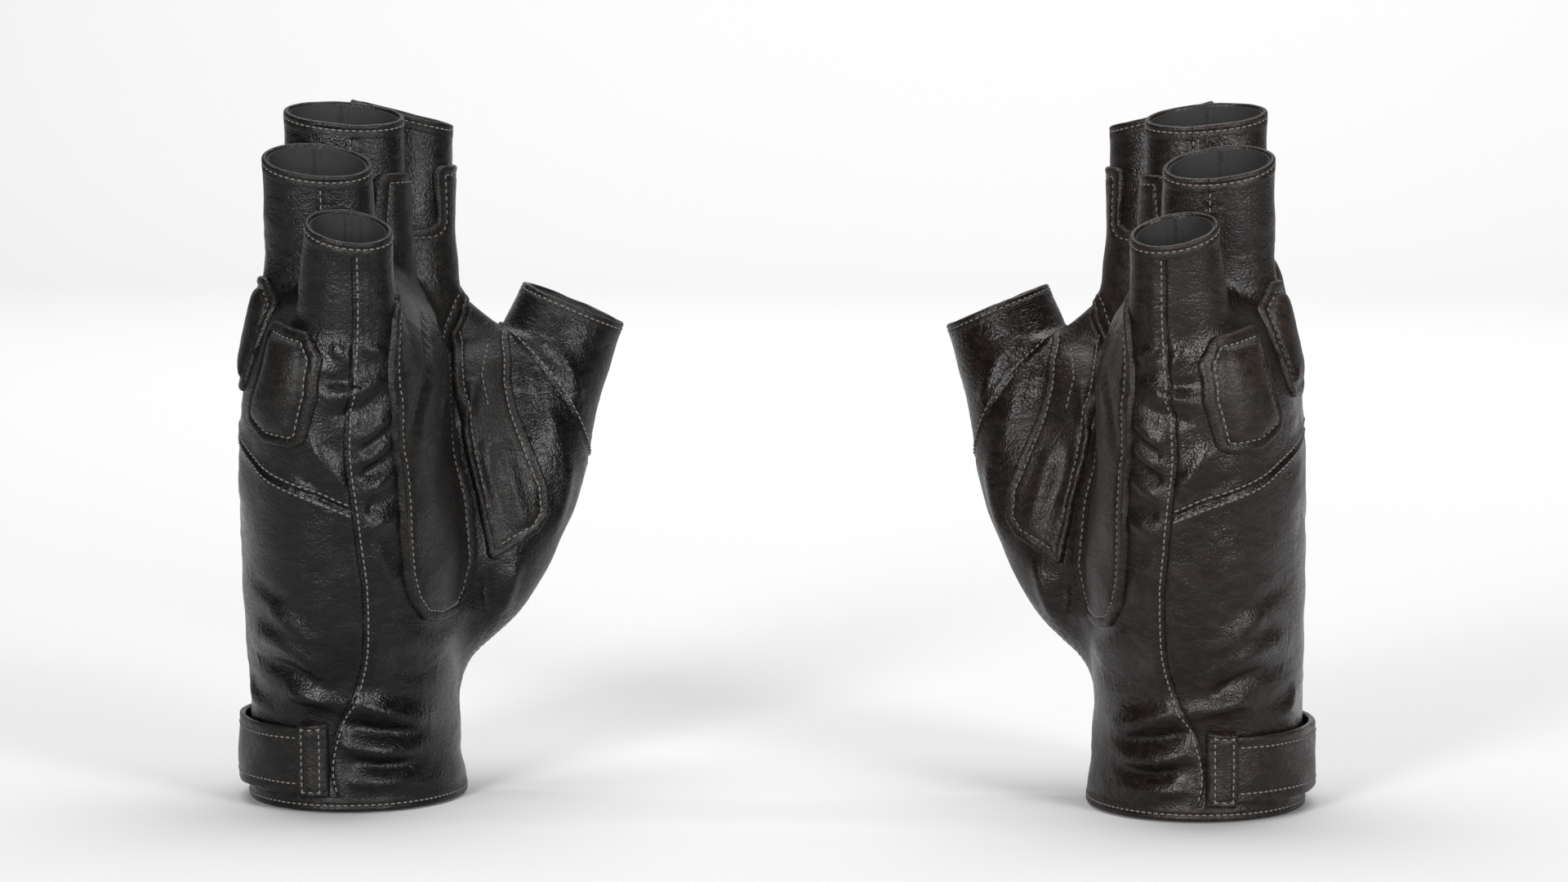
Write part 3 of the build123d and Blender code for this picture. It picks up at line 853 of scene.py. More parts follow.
def pad_height(depth):
    """A padded knuckle: a flat rolled border, then a crown over the foam."""
    edge = PAD_BORDER * rolled(depth, EDGE_ROLL)
    crown = (PAD - PAD_BORDER) * (1 - np.exp(-np.maximum(depth - PAD_ROW, 0) / PAD_CROWN))
    dip = 0.5 * bump(depth - PAD_ROW, 0.6)
    return OVERLAY_LIFT + edge + crown - dip + 0.15 * bump(depth - 1.5, 0.7)


def raised(points, distance_of, height_of, grid, calm=1.0):
    """The top face of a piece sewn on the leather, and the leather's normals under it."""
    normal = grid.normal(points)
    depth = np.maximum(distance_of(points), 0)
    rise = calm * relief(points, grid) + height_of(depth)
    return points + normal * rise[:, None], normal


def overlay(base, distance_of, height_of, lines, grid, calm=1.0):
    """A piece sewn on inside an outline: its points on the leather, triangles, top and normals."""
    points, faces = base
    distance = distance_of(points)
    near = (distance > -4)[faces].any(1)
    points, faces = compact(points, faces[near])
    for line in lines:
        points, faces = cut(points, faces, distance_of(points) - line, grid)
    faces = faces[distance_of(points[faces].mean(1)) > 0]
    points, faces = compact(points, faces)
    return (points, faces, *raised(points, distance_of, height_of, grid, calm))


def overlay_shell(name, made, slot, nodes, chosen=None, digit=None, padded=False):
    points, faces, top, normal = made
    normals = vertex_normals(top, faces)
    if chosen is not None:
        faces = faces[chosen]
    used, local = numbered(faces)
    under = points[used] - normal[used] * OVERLAY_SINK
    p, f, corners = shell(top[used], under, local, normals[used])
    piece(name, p, f, slot, corners, nodes, digit, padded=padded)


def pad_axes(name):
    centre, facing, turn = PADS[name]
    facing = unit(facing)
    across = unit((-facing[1], facing[0], 0.0))
    up = np.cross(facing, across)
    t = math.radians(turn)
    return (np.array(centre), facing, across * math.cos(t) + up * math.sin(t),
            up * math.cos(t) - across * math.sin(t))


def pad_distance(name, grid, inset=0.0):
    centre, facing, across, up = pad_axes(name)
    outline = rounded(PAD_OUTLINE, 3.0)

    def distance(p):
        off = p - centre
        flat = np.stack([off @ across, off @ up], axis=1)
        found = np.full(len(p), OUTSIDE)
        near = (np.linalg.norm(off, axis=1) < 30) & (off @ facing > -9)
        level = (grid.normal(p[near]) @ facing - PAD_TILT) * PAD_TURN
        found[near] = np.minimum(outline_distance(outline, flat[near]), level) - inset
        return found

    return distance


def palm_distance(p):
    outline = rounded(PALM_PATCH, 2.5)
    found = np.full(len(p), OUTSIDE)
    near = (p[:, 0] > 7) & (p[:, 2] > 40) & (p[:, 2] < 175) & (p[:, 0] + 0.55 * p[:, 1] < 60)
    found[near] = outline_distance(outline, p[near][:, 1:])
    return found


def thenar_slope(p, grid):
    """Distance inside the thenar patch along the leather, and the way further in."""
    outline = rounded(THENAR_PATCH, 1.5)

    def inside(q):
        return np.minimum(outline_distance(outline, q[:, [0, 2]]), -PATCH_GAP - palm_distance(q))

    step = 0.3
    slope = np.stack(
        [inside(p + step * side) - inside(p - step * side) for side in np.eye(3)], axis=1)
    slope = slope / (2 * step)
    normal = grid.normal(p)
    along = slope - normal * (slope * normal).sum(1)[:, None]
    size = np.maximum(np.linalg.norm(along, axis=1), 0.35)
    return inside(p) / size, along / size[:, None]


def thenar_distance(grid):
    def distance(p):
        found = np.full(len(p), OUTSIDE)
        near = (p[:, 1] < 28) & (p[:, 0] > 18) & (p[:, 2] > 50) & (p[:, 2] < 135)
        found[near] = thenar_slope(p[near], grid)[0]
        return found

    return distance


def build_overlays(base, grid):
    build_patches(base, grid)
    foam_points, foam_faces, total = [], [], 0
    for name in PADS:
        made = overlay(base, pad_distance(name, grid), pad_height, PAD_CUTS, grid, PAD_CALM)
        overlay_shell(f"{name}_knuckle_pad_leather", made, "trim", (f"{name}_knuckle_pad",), padded=True)
        inner = pad_distance(name, grid, FOAM_INSET)
        points, faces, _, normal = overlay(base, inner, np.zeros_like, (0.0,), grid)
        rise = PAD_CALM * relief(points, grid)
        crown = 1.1 * (1 - np.exp(-np.maximum(inner(points), 0) / PAD_CROWN))
        top = points + normal * (rise + 0.55 + crown)[:, None]
        p, f, _ = shell(top, points + normal * (rise + 0.15)[:, None], faces, normal)
        foam_points.append(p)
        foam_faces.append(f + total)
        total += len(p)
    piece("knuckle_foam_pads", np.concatenate(foam_points), np.concatenate(foam_faces), "foam",
          nodes=("knuckle_foam",))


def build_patches(base, grid):
    """The palm patch with its two finger tabs, and the thenar patch."""
    tabs = ("index", "middle")
    points, faces = overlay(base, palm_distance, patch_height, PATCH_CUTS, grid)[:2]
    for name in tabs:
        own = digit_value(name, points, digit_fields(points))
        points, faces = cut(points, faces, np.where(points[:, 2] > TAB_LOW, own, -9.0), grid)
    made = (points, faces, *raised(points, palm_distance, patch_height, grid))
    middle = points[faces].mean(1)
    fields = digit_fields(middle)
    on = {name: (digit_value(name, middle, fields) > 0) & (middle[:, 2] > TAB_LOW) for name in tabs}
    overlay_shell("palm_patch_leather", made, "trim", ("palm_patch",), ~(on["index"] | on["middle"]))
    for name in tabs:
        overlay_shell(f"{name}_tab_leather", made, "trim", (f"{name}_tab",), on[name], name)
    thenar = overlay(base, thenar_distance(grid), patch_height, PATCH_CUTS, grid)
    overlay_shell("thenar_patch_leather", thenar, "trim", ("thenar_patch",))


# ---------------------------------------------------------------- bindings

RING_REACH = 42.0               # no ring of leather is wider than this from its centre
RING_STEP = 0.7
ACROSS, AHEAD = np.array((1.0, 0, 0)), np.array((0, 1.0, 0))


def ring_at(origin, u, v, grid, count=110):
    """Points where the plane through origin meets the leather, evenly spaced."""
    turn = np.linspace(0, 2 * math.pi, 240, endpoint=False)
    ray = unit(np.cos(turn)[:, None] * u + np.sin(turn)[:, None] * v)
    high = np.full(len(ray), RING_REACH)
    for k in range(round(RING_REACH / RING_STEP)):
        out = grid.value(origin + ray * (k * RING_STEP)) > 0
        high = np.where(out & (high > k * RING_STEP), k * RING_STEP, high)
    low = high - RING_STEP
    for _ in range(12):
        at = (low + high) / 2
        out = grid.value(origin + ray * at[:, None]) > 0
        high, low = np.where(out, at, high), np.where(out, low, at)
    return even(origin + ray * high[:, None], count)


def even(loop, count):
    """A closed loop as evenly spaced points."""
    closed = np.concatenate([loop, loop[:1]])
    walked = walk(closed)
    at = np.linspace(0, walked[-1], count, endpoint=False)
    return np.stack([np.interp(at, walked, closed[:, k]) for k in range(3)], axis=1)


# Profile of a folded and stitched edge: height off the leather and depth under the rim.
FOLDED_EDGE = (
    (0.0, 3.75), (0.03, 3.3), (0.06, 2.8), (0.06, 2.35), (-0.06, 2.05), (-0.2, 1.75), (-0.12, 1.45),
    (0.04, 1.15), (0.08, 0.8), (0.0, 0.45), (-0.22, 0.18), (-0.5, 0.05), (-0.8, 0.02), (-1.05, 0.12),
    (-1.25, 0.35), (-1.35, 0.7), (-1.38, 1.4), (-1.38, 2.6), (-1.38, 3.9), (-1.1, 4.15), (-0.5, 4.1),
)


def folded_edge(name, loop, along, grid, wave=0.25):
    """The binding round a rim, whose leather runs down from the loop against along."""
    wobble = ripple(loop, (1, 1, 1), 6.0, 5 * CREASE_SEED + len(name))
    rows = []
    for out, down in FOLDED_EDGE:
        fade = math.exp(-down / 1.6)
        shift = (down + wave * wobble * fade)[:, None] if wave else down
        level = max(out, -1.0)
        p = grid.settle(loop - along * shift, level=level, rounds=2)
        p = p - grid.normal(p) * (level - out)
        p = p + grid.normal(p) * (0.1 * wobble)[:, None]
        for seam, x in FINGER_SEAMS:
            if seam == name:
                near = bump(p[:, 0] - x - 0.9, 0.55) * (p[:, 1] < loop[:, 1].mean())
                p = p - grid.normal(p) * (0.45 * near)[:, None]
        rows.append(p)
    points, faces = swept(np.stack(rows, axis=1))
    return points, outward(points, faces)


def build_bindings(grid):
    for name in DIGITS:
        origin, u, v, along = rim_frame(name)
        loop = ring_at(origin, u, v, grid, 200)
        p, f = folded_edge(name, loop, along, grid)
        piece(f"{name}_rim_binding", p, f, "trim", nodes=(f"{name}_rim",), digit=name + "!")
    loop = ring_at(np.zeros(3), ACROSS, AHEAD, grid, 260)
    p, f = folded_edge("wrist", loop, np.array((0, 0, -1.0)), grid, wave=0.0)
    piece("wrist_hem_binding", p, f, "trim", nodes=("wrist_binding",))


# ---------------------------------------------------------------- wrist strap and keeper

STRAP = (4.8, 22.4, 1.6, 0.9)            # low edge, high edge, thickness, gap under it
STRAP_SHIFT = (-0.6, 0.8)
STRAP_TURNS = (68.0, 264.6)              # free end and sewn end, as angles round the wrist
TAPE_TURNS = (74.0, 128.0)
KEEPER_X = (-9.8, -2.0)
KEEPER_Z = (3.8, 24.2)
KEEPER = 3.0                             # thickness, over the strap's sewn end
KEEPER_EDGE = 0.9                        # height of its edge
KEEPER_CUTS = (0.0, 0.3, 1.0, 1.6, 2.1)
KEEPER_ROWS_X = (KEEPER_X[0] + 1.5, KEEPER_X[1] - 2.2)   # its stitch rows
KEEPER_ROWS_Z = (KEEPER_Z[0] + 1.5, KEEPER_Z[1] - 1.7)
STRAP_ROWS = (STRAP[0] + 2.6, STRAP[1] - 2.9)            # heights of the strap's stitch rows


def wrist_point(turn, height, out, shift=(0.0, 0.0)):
    """A point at an angle, a height and a distance off the wrist's leather."""
    cx, cy, rx, ry = read_table(BODY, height)
    return np.stack([
        cx + shift[0] + (rx + out) * np.cos(turn), cy + shift[1] + (ry + out) * np.sin(turn),
        height + 0 * turn], axis=-1)


def strap_wave(turn, height):
    """How far worn leather stands off the strap's plain shape."""
    return 0.18 * np.sin(turn * 7 + height * 0.25) + 0.12 * np.sin(turn * 13.0 - height * 0.4)


def band(turns, low, high, inner, outer, round_off, count, shift, steps=9):
    """A strip round the wrist between two angles, with rounded edges and ends."""
    turn = np.radians(np.linspace(turns[0], turns[1], count))
    z = np.linspace(0, 1, steps)
    profile = [(outer, low + round_off + (high - low - 2 * round_off) * t) for t in z]
    profile += [(outer - round_off * 0.3, high - round_off * 0.3), (outer - round_off, high)]
    profile += [(inner + 0.2, high), (inner, high - 0.25)]
    profile += [(inner, high - 0.25 - (high - low - 0.5) * t) for t in z[1:]]
    profile += [(inner + 0.2, low), (outer - round_off, low)]
    profile += [(outer - round_off * 0.3, low + round_off * 0.3)]
    rows = []
    for out, height in profile:
        wave = strap_wave(turn, height)
        dip = -0.22 * (bump(height - (low + 2.6), 0.7) + bump(height - (high - 2.9), 0.7))
        lift = (wave + dip) * (out > inner + 0.5) * (outer - inner > 1)
        rows.append(wrist_point(turn, np.full(count, height), out + lift, shift))
    points, faces = swept(np.stack(rows, axis=1), closed_sweep=False, caps=True)
    return points, outward(points, faces)


def keeper_distance(p):
    """Distance inside the keeper's outline on the little-finger side, negative outside."""
    x, z = p[:, 0], p[:, 2]
    inside = np.minimum.reduce([x - KEEPER_X[0], KEEPER_X[1] - x, z - KEEPER_Z[0], KEEPER_Z[1] - z])
    return np.where(p[:, 1] < -20, inside, -20.0)


def keeper_slope(x):
    """How much lower the keeper's face gets towards its palm side."""
    return 1.5 * ease((x - KEEPER_X[1] + 4.2) / 4.2)


def build_strap(base, grid):
    low, high, thick, gap = STRAP
    p, f = band(STRAP_TURNS, low, high, gap, gap + thick, 0.55, 220, STRAP_SHIFT, steps=17)
    piece("wrist_strap", p, f, "trim", nodes=("strap_anchor", "strap_flap"), flap=True)
    p, f = band(TAPE_TURNS, low + 2, high - 2, 0.1, 0.62, 0.1, 60, (0, 0))
    piece("loop_tape_strip", p, f, "tape", nodes=("loop_tape",))
    p, f = band(TAPE_TURNS, low + 2, high - 2, gap - 0.2, gap + 0.15, 0.1, 60, STRAP_SHIFT)
    piece("hook_tape_strip", p, f, "tape", nodes=("hook_tape",), flap="!")

    def height(depth):
        return KEEPER_EDGE + (KEEPER - KEEPER_EDGE) * rolled(depth, 1.0)

    points, faces, top, normal = overlay(base, keeper_distance, height, KEEPER_CUTS, grid)
    x, z = points[:, 0], points[:, 2]
    dip = np.maximum(
        bump(x - KEEPER_ROWS_X[0], 0.5) + bump(x - KEEPER_ROWS_X[1], 0.5),
        bump(z - KEEPER_ROWS_Z[0], 0.5) + bump(z - KEEPER_ROWS_Z[1], 0.5))
    top = top - normal * (0.35 * np.clip(dip, 0, 1) + keeper_slope(x))[:, None]
    overlay_shell("strap_keeper_tab", (points, faces, top, normal), "trim", ("strap_keeper",))


# ---------------------------------------------------------------- stitches

EDGE_ROW = 1.75                 # the stitch row of a folded edge, under the edge
PITCH = 1.85                    # from one stitch to the next
DASH = 1.42                     # length of a stitch
THREAD = 0.25                   # half thickness of the thread
THREAD_LIFT = 0.06              # its middle, off the leather
EDGE_THREAD_LIFT = -0.1         # and off the plain shape in the groove of a folded edge
CAST_START = 70.0               # rays onto the hand start this far out
ROW_END = HEM - 0.3             # a row that runs up to a rim stops this far under it
# The thenar patch's row stops at this height, and the short row where it tucks under the palm
# patch runs through these x and z.
THENAR_ROW_TOP = 121.5
THENAR_TUCK = ((33.2, 118.5), (32.6, 114.4), (32.3, 110.6), (33.4, 106.5), (34.0, 103.0))


# One stitch: place along it, thickness and lift.
STITCH = (
    (-0.5, 0.45, -0.36), (-0.38, 0.9, -0.06), (-0.12, 1.0, 0.1),
    (0.12, 1.0, 0.1), (0.38, 0.9, -0.06), (0.5, 0.45, -0.36),
)


def cast(start, direction, grid, reach=70.0):
    """Where rays first meet the leather, and whether they did."""
    p = start
    gone = np.zeros(len(p))
    for _ in range(90):
        gap = grid.value(p)
        step = np.clip(gap * 0.8, 0.0, 3.0)
        p = p + direction * step[:, None]
        gone += step
    return p, (np.abs(grid.value(p)) < 0.1) & (gone < reach)


def cast_in(axis, start, u, v, grid):
    """Casts straight in along X (0) or Y (1) from a plane, at the other two coordinates."""
    direction = np.zeros(3)
    direction[axis] = -math.copysign(1, start)
    return cast(np.insert(np.stack([u, v], 1), axis, start, axis=1), direction, grid)


def dashes(path, height, normals, closed=False):
    """Short arched threads along a path of points on the surface."""
    if closed:
        path, height = np.concatenate([path, path[:1]]), np.append(height, height[0])
        normals = np.concatenate([normals, normals[:1]])
    walked = walk(path)
    count = max(1, int(round(walked[-1] / PITCH)))
    at = (np.arange(count) + 0.5) * walked[-1] / count

    def read(table, s):
        return np.stack([np.interp(s, walked, table[:, k]) for k in range(table.shape[1])], axis=1)

    raised = path + normals * height[:, None]
    centre, normal = read(raised, at), unit(read(normals, at))
    after, before = np.minimum(at + 0.4, walked[-1]), np.maximum(at - 0.4, 0)
    ahead = unit(read(raised, after) - read(raised, before))
    across = unit(np.cross(normal, ahead))
    rows = []
    for s, size, lift in STITCH:
        middle = centre + ahead * (s * DASH) + normal * lift
        rows.append(np.stack([
            middle + (across * math.cos(a) + normal * (0.8 * math.sin(a))) * THREAD * size
            for a in np.linspace(0, 2 * math.pi, 6, endpoint=False)], axis=1))
    block = np.stack(rows, axis=1)
    one, faces = swept(block[0], closed_sweep=False, caps=True)
    faces = outward(one, faces)
    hubs = block[:, [0, -1]].mean(2)
    points = np.concatenate([block.reshape(count, -1, 3), hubs], axis=1)
    every = faces[None] + (np.arange(count) * points.shape[1])[:, None, None]
    return points.reshape(-1, 3), every.reshape(-1, 3)


class Threads:
    """Stitch rows gathered by the hand, digit, rim or strap that they lie on."""

    def __init__(self):
        self.groups = {}

    def add(self, group, path, height, normals, closed=False):
        if len(path) < 2:
            return
        points, faces = dashes(path, height, normals, closed)
        old = self.groups.setdefault(group, ([], [], 0))
        old[0].append(points)
        old[1].append(faces + old[2])
        self.groups[group] = (old[0], old[1], old[2] + len(points))

    def make(self):
        for group, (points, faces, _) in self.groups.items():
            digit = group if group.rstrip("!") in DIGITS else None
            name = group.replace("!", "_rim")
            piece(f"{name}_stitches", np.concatenate(points), np.concatenate(faces), "thread",
                  digit=digit, flap=group == "strap")


def runs(keep):
    """Start and end of each unbroken run of true values."""
    edge = np.flatnonzero(np.diff(np.concatenate([[0], keep.astype(int), [0]])))
    return list(zip(edge[::2], edge[1::2]))


def sewn(threads, path, keep, grid, over=0.0):
    """Stitches along surface points, split by the digit that they lie on."""
    fields = digit_fields(path)
    height = relief(path, grid, fields) + THREAD_LIFT + over
    normals = grid.normal(path)
    owner = np.full(len(path), -1)
    for k, name in enumerate(DIGITS):
        owner[digit_value(name, path, fields) > 0] = k
    for k in range(-1, len(DIGITS)):
        for a, b in runs(keep & (owner == k)):
            threads.add("hand" if k < 0 else DIGITS[k], path[a:b], height[a:b], normals[a:b])


def inset_line(outline, inset, spacing=0.5):
    """A row inside an outline, at a distance from its edge."""
    closed = np.concatenate([outline, outline[:1]])
    walked = walk(closed)
    at = np.arange(0, walked[-1], spacing)
    line = np.stack([np.interp(at, walked, closed[:, k]) for k in range(2)], axis=1)
    ahead = np.roll(line, -1, axis=0) - np.roll(line, 1, axis=0)
    left = unit(np.stack([-ahead[:, 1], ahead[:, 0]], axis=1))
    turned = (closed[:-1, 0] * closed[1:, 1] - closed[1:, 0] * closed[:-1, 1]).sum() > 0
    moved = line + (left if turned else -left) * inset
    good = outline_distance(outline, moved) > inset - 0.12
    return moved[good]


def edge_row(threads, group, path, grid):
    """Round a folded edge."""
    threads.add(group, path, np.full(len(path), EDGE_THREAD_LIFT), grid.normal(path), closed=True)


def thread_rows(grid):
    threads = Threads()
    for name in DIGITS:
        origin, u, v, along = rim_frame(name)
        loop = ring_at(origin, u, v, grid)
        edge_row(threads, name + "!", grid.settle(loop - along * EDGE_ROW), grid)
    edge_row(threads, "hand", ring_at(np.array((0, 0, EDGE_ROW)), ACROSS, AHEAD, grid, 260), grid)
    for side, top in ((-1, 151.0), (1, 112.0)):
        z = np.arange(HEM + 1.5, top, 0.5)
        path, hit = cast_in(1, side * CAST_START, side_seam_x(z), z, grid)
        if side < 0:
            hit &= below_rim("pinky", path) > ROW_END
        sewn(threads, path, hit, grid)
    turn = np.arange(-106.0, 104.0, 0.6)
    ray = np.stack([-np.cos(np.radians(turn)), np.sin(np.radians(turn)), 0 * turn], 1)
    for shift in (-1.25, 1.25):
        start = ray * CAST_START + np.array((0.0, BACK_AXIS_Y, 0.0))
        start[:, 2] = back_seam_height(turn) + shift / BACK_LEAN
        path, hit = cast(start, -ray, grid)
        sewn(threads, path, hit & (side_offset(path) < -1.4), grid)
    for name, seam_x in FINGER_SEAMS:
        z = np.arange(140.0, RIMS[name][0] + 6, 0.4)
        centre_y, half_y = read_table(FINGERS[name], z, (2, 4))
        start = np.stack([np.full(len(z), seam_x), centre_y - half_y - 1.2, z], 1)
        path, hit = cast(start, AHEAD, grid, reach=6)
        hit &= (below_rim(name, path) > ROW_END) & (grid.value(start) > 0.15)
        sewn(threads, path, hit, grid)
    thumb_row(threads, grid)
    patch_rows(threads, grid)
    pad_rows(threads, grid)
    strap_rows(threads, grid)
    threads.make()


def thumb_row(threads, grid):
    """Round the thumb's root, a little above the seam."""
    origin, normal = root_frame("thumb")
    u = unit(np.cross(normal, (0.0, 0.0, 1.0)))
    v = np.cross(normal, u)
    loop = ring_at(origin + normal * 1.1, u, v, grid, 220)
    threads.add("thumb", loop, relief(loop, grid) + THREAD_LIFT, grid.normal(loop), closed=True)


def patch_rows(threads, grid):
    """Along the edges of the palm patch and the thenar patch."""
    over = patch_height(PATCH_ROW)
    line = inset_line(rounded(PALM_PATCH, 2.5, 9), PATCH_ROW)
    path, hit = cast_in(0, 75.0, line[:, 0], line[:, 1], grid)
    sewn(threads, path, hit & (palm_distance(path) > 2.4), grid, over)
    line = inset_line(rounded(THENAR_PATCH, 1.5, 9), 0.8)
    path, hit = cast_in(1, -40.0, line[:, 0], line[:, 1], grid)
    for _ in range(5):
        inside, way = thenar_slope(path, grid)
        move = np.clip(PATCH_ROW - inside, -0.6, 0.6)[:, None]
        path = grid.settle(path + way * move, rounds=1)
    hit &= np.abs(thenar_slope(path, grid)[0] - PATCH_ROW) < 0.3
    hit &= (path[:, 2] < THENAR_ROW_TOP) | (path[:, 0] < 29)
    sewn(threads, path, hit, grid, over)
    z = np.linspace(THENAR_TUCK[0][1], THENAR_TUCK[-1][1], 40)
    x = np.interp(-z, [-t[1] for t in THENAR_TUCK], [t[0] for t in THENAR_TUCK])
    path, hit = cast_in(1, -40.0, x, z, grid)
    sewn(threads, path, hit, grid, patch_height(6.0))


def pad_rows(threads, grid):
    """Round each knuckle pad, inside its flat border."""
    for name in PADS:
        centre, facing, across, up = pad_axes(name)
        line = inset_line(rounded(PAD_OUTLINE, 3.0, 9), PAD_ROW, 0.4)
        start = centre + facing * 16 + line[:, :1] * across + line[:, 1:] * up
        path, hit = cast(start, -facing, grid)
        height = PAD_CALM * relief(path, grid) + pad_height(PAD_ROW) + THREAD_LIFT
        hit &= pad_distance(name, grid)(path) > PAD_ROW - 0.5
        for a, b in [(0, len(path))] if hit.all() else runs(hit):
            threads.add("hand", path[a:b], height[a:b], grid.normal(path[a:b]), closed=bool(hit.all()))


def strap_rows(threads, grid):
    """Along the strap, and round the keeper with the rows crossing at its corners."""
    _, _, thick, gap = STRAP
    turn = np.radians(np.arange(STRAP_TURNS[0] + 4, STRAP_TURNS[1] - 10.0, 0.8))
    normals = unit(np.stack([np.cos(turn) / 29, np.sin(turn) / 36, 0 * turn], 1))
    for height in STRAP_ROWS:
        path = wrist_point(turn, np.full(len(turn), height), gap + thick, STRAP_SHIFT)
        threads.add("strap", path, strap_wave(turn, height) - 0.22 + THREAD_LIFT, normals)
    (left, right), (low, high), past = KEEPER_ROWS_X, KEEPER_ROWS_Z, 0.8
    rows = [((x, low - past), (x, high + past)) for x in (left, right)]
    rows += [((left - past, z), (right + past, z)) for z in (low, high)]
    for a, b in rows:
        t = np.linspace(0, 1, 30)[:, None]
        line = (1 - t) * np.array(a) + t * np.array(b)
        path, _ = cast_in(1, -60.0, line[:, 0], line[:, 1], grid)
        height = relief(path, grid) + KEEPER - 0.35 - keeper_slope(path[:, 0]) + THREAD_LIFT
        threads.add("hand", path, height, grid.normal(path))


# ---------------------------------------------------------------- materials

def link(tree, a, out, b, into):
    tree.links.new(a.outputs[out], b.inputs[into])


def new_node(tree, kind, settings=(), **values):
    """A shader node, with settings of its own and values of its inputs (_ for a space)."""
    node = tree.nodes.new("ShaderNode" + kind)
    for key, value in dict(settings).items():
        setattr(node, key, value)
    for key, value in values.items():
        node.inputs[key.replace("_", " ")].default_value = value
    return node


def new_material(name, **values):
    """A material, its nodes and its shader, and where a point of it is."""
    material = bpy.data.materials.new(name)
    material.use_nodes = True
    tree = material.node_tree
    tree.nodes.clear()
    place = new_node(tree, "NewGeometry")
    shader = new_node(tree, "BsdfPrincipled", **values)
    link(tree, shader, "BSDF", new_node(tree, "OutputMaterial"), "Surface")
    return material, tree, shader, place


def ramp(tree, source, out, low, high, a=0.0, b=1.0):
    """Turns a value's low and high ends into a and b."""
    node = new_node(tree, "MapRange", From_Min=low, From_Max=high, To_Min=a, To_Max=b)
    link(tree, source, out, node, "Value")
    return node


def noise_node(tree, source, out, scale, detail, distortion=0.0):
    node = new_node(tree, "TexNoise", Scale=scale, Detail=detail, Distortion=distortion)
    link(tree, source, out, node, "Vector")
    return node


def colours(tree, source, out, dark, light, shader):
    mix = new_node(tree, "Mix", {"data_type": "RGBA"}, A=(*dark, 1), B=(*light, 1))
    link(tree, source, out, mix, "Factor")
    link(tree, mix, "Result", shader, "Base Color")


def bumps(tree, source, out, strength, distance, onto):
    """Bumps added to what another bump node or the shader takes for the face's normal."""
    node = new_node(tree, "Bump", Strength=strength, Distance=distance)
    link(tree, source, out, node, "Height")
    link(tree, node, "Normal", onto, "Normal")
    return node


def leather_material(name, dark, light, rough, grain, shine):
    """Worn glossy leather: fine grain, small creases and uneven shine."""
    material, tree, shader, place = new_material(name, Specular_IOR_Level=shine)
    stretch = new_node(tree, "VectorMath", {"operation": "MULTIPLY"})
    stretch.inputs[1].default_value = (0.75, 0.75, 1.5)
    link(tree, place, "Position", stretch, 0)
    cloud = noise_node(tree, place, "Position", 38.0, 4.0, 0.6)
    streak = noise_node(tree, stretch, 0, 210.0, 6.0, 1.6)
    speck = noise_node(tree, place, "Position", 1500.0, 3.0)
    cells = new_node(tree, "TexVoronoi", {"feature": "DISTANCE_TO_EDGE"}, Scale=980.0)
    link(tree, place, "Position", cells, "Vector")
    colours(tree, ramp(tree, streak, "Fac", 0.42, 0.68), "Result", dark, light, shader)
    gloss = ramp(tree, cloud, "Fac", 0.3, 0.7, rough - 0.09, rough + 0.13)
    grit = ramp(tree, speck, "Fac", 0.35, 0.65, -0.07, 0.07)
    total = new_node(tree, "Math", {"operation": "ADD"})
    link(tree, gloss, "Result", total, 0)
    link(tree, grit, "Result", total, 1)
    link(tree, total, "Value", shader, "Roughness")
    fine = bumps(tree, speck, "Fac", 0.5, 0.0003, shader)
    pores = bumps(tree, ramp(tree, cells, "Distance", 0.0, 0.3), "Result", grain, 0.00012, fine)
    bumps(tree, streak, "Fac", 0.55, 0.00045, pores)
    return material


def matt_material(name, colour, rough, scale, depth):
    """Cloth, thread or foam: matt, with a fine uneven face."""
    material, tree, shader, place = new_material(name, Roughness=rough)
    grain = noise_node(tree, place, "Position", scale, 3.0)
    dark, light = [c * 0.7 for c in colour], [min(c * 1.25, 1) for c in colour]
    colours(tree, grain, "Fac", dark, light, shader)
    bumps(tree, grain, "Fac", 0.6, depth, shader)
    return material


# Dark and light colour, roughness, strength of the grain, and shine; then colour, roughness, and
# scale and depth of the grain.
LEATHERS = {
    "right_leather": ((0.0015, 0.0014, 0.0014), (0.0044, 0.0041, 0.0040), 0.3, 0.35, 0.195),
    "right_trim": ((0.0032, 0.0028, 0.0025), (0.0078, 0.0065, 0.0055), 0.38, 0.35, 0.165),
    "left_leather": ((0.0036, 0.0023, 0.0018), (0.0098, 0.0064, 0.0048), 0.31, 0.35, 0.215),
    "left_trim": ((0.0052, 0.0034, 0.0026), (0.0128, 0.0085, 0.0063), 0.39, 0.35, 0.185),
}
MATTS = {
    "lining": ((0.0045, 0.0043, 0.0043), 0.85, 900.0, 0.0002),
    "thread": ((0.065, 0.063, 0.06), 0.6, 2500.0, 0.0001),
    "foam": ((0.3, 0.3, 0.28), 0.9, 700.0, 0.0003),
    "tape": ((0.006, 0.006, 0.006), 0.8, 1600.0, 0.0004),
}
MATERIALS = {name: leather_material(name, *look) for name, look in LEATHERS.items()}
MATERIALS.update({name: matt_material(name, *look) for name, look in MATTS.items()})


# ---------------------------------------------------------------- both gloves

PAIR_HALF_SPACING = 112.0
PAIR_SHIFT_Y = 5.95
BEND_ROOM = 11.0                # an end point is worked out this far from a digit's root, and not used and these two points for the strap, also not used
FLAP_BEND = ((-31.0, 2.0, 13.6), (-31.0, 16.0, 13.6))    # and the strap between these points


def add_object(name, data):
    made = bpy.data.objects.new(name, data)
    bpy.context.scene.collection.objects.link(made)
    return made


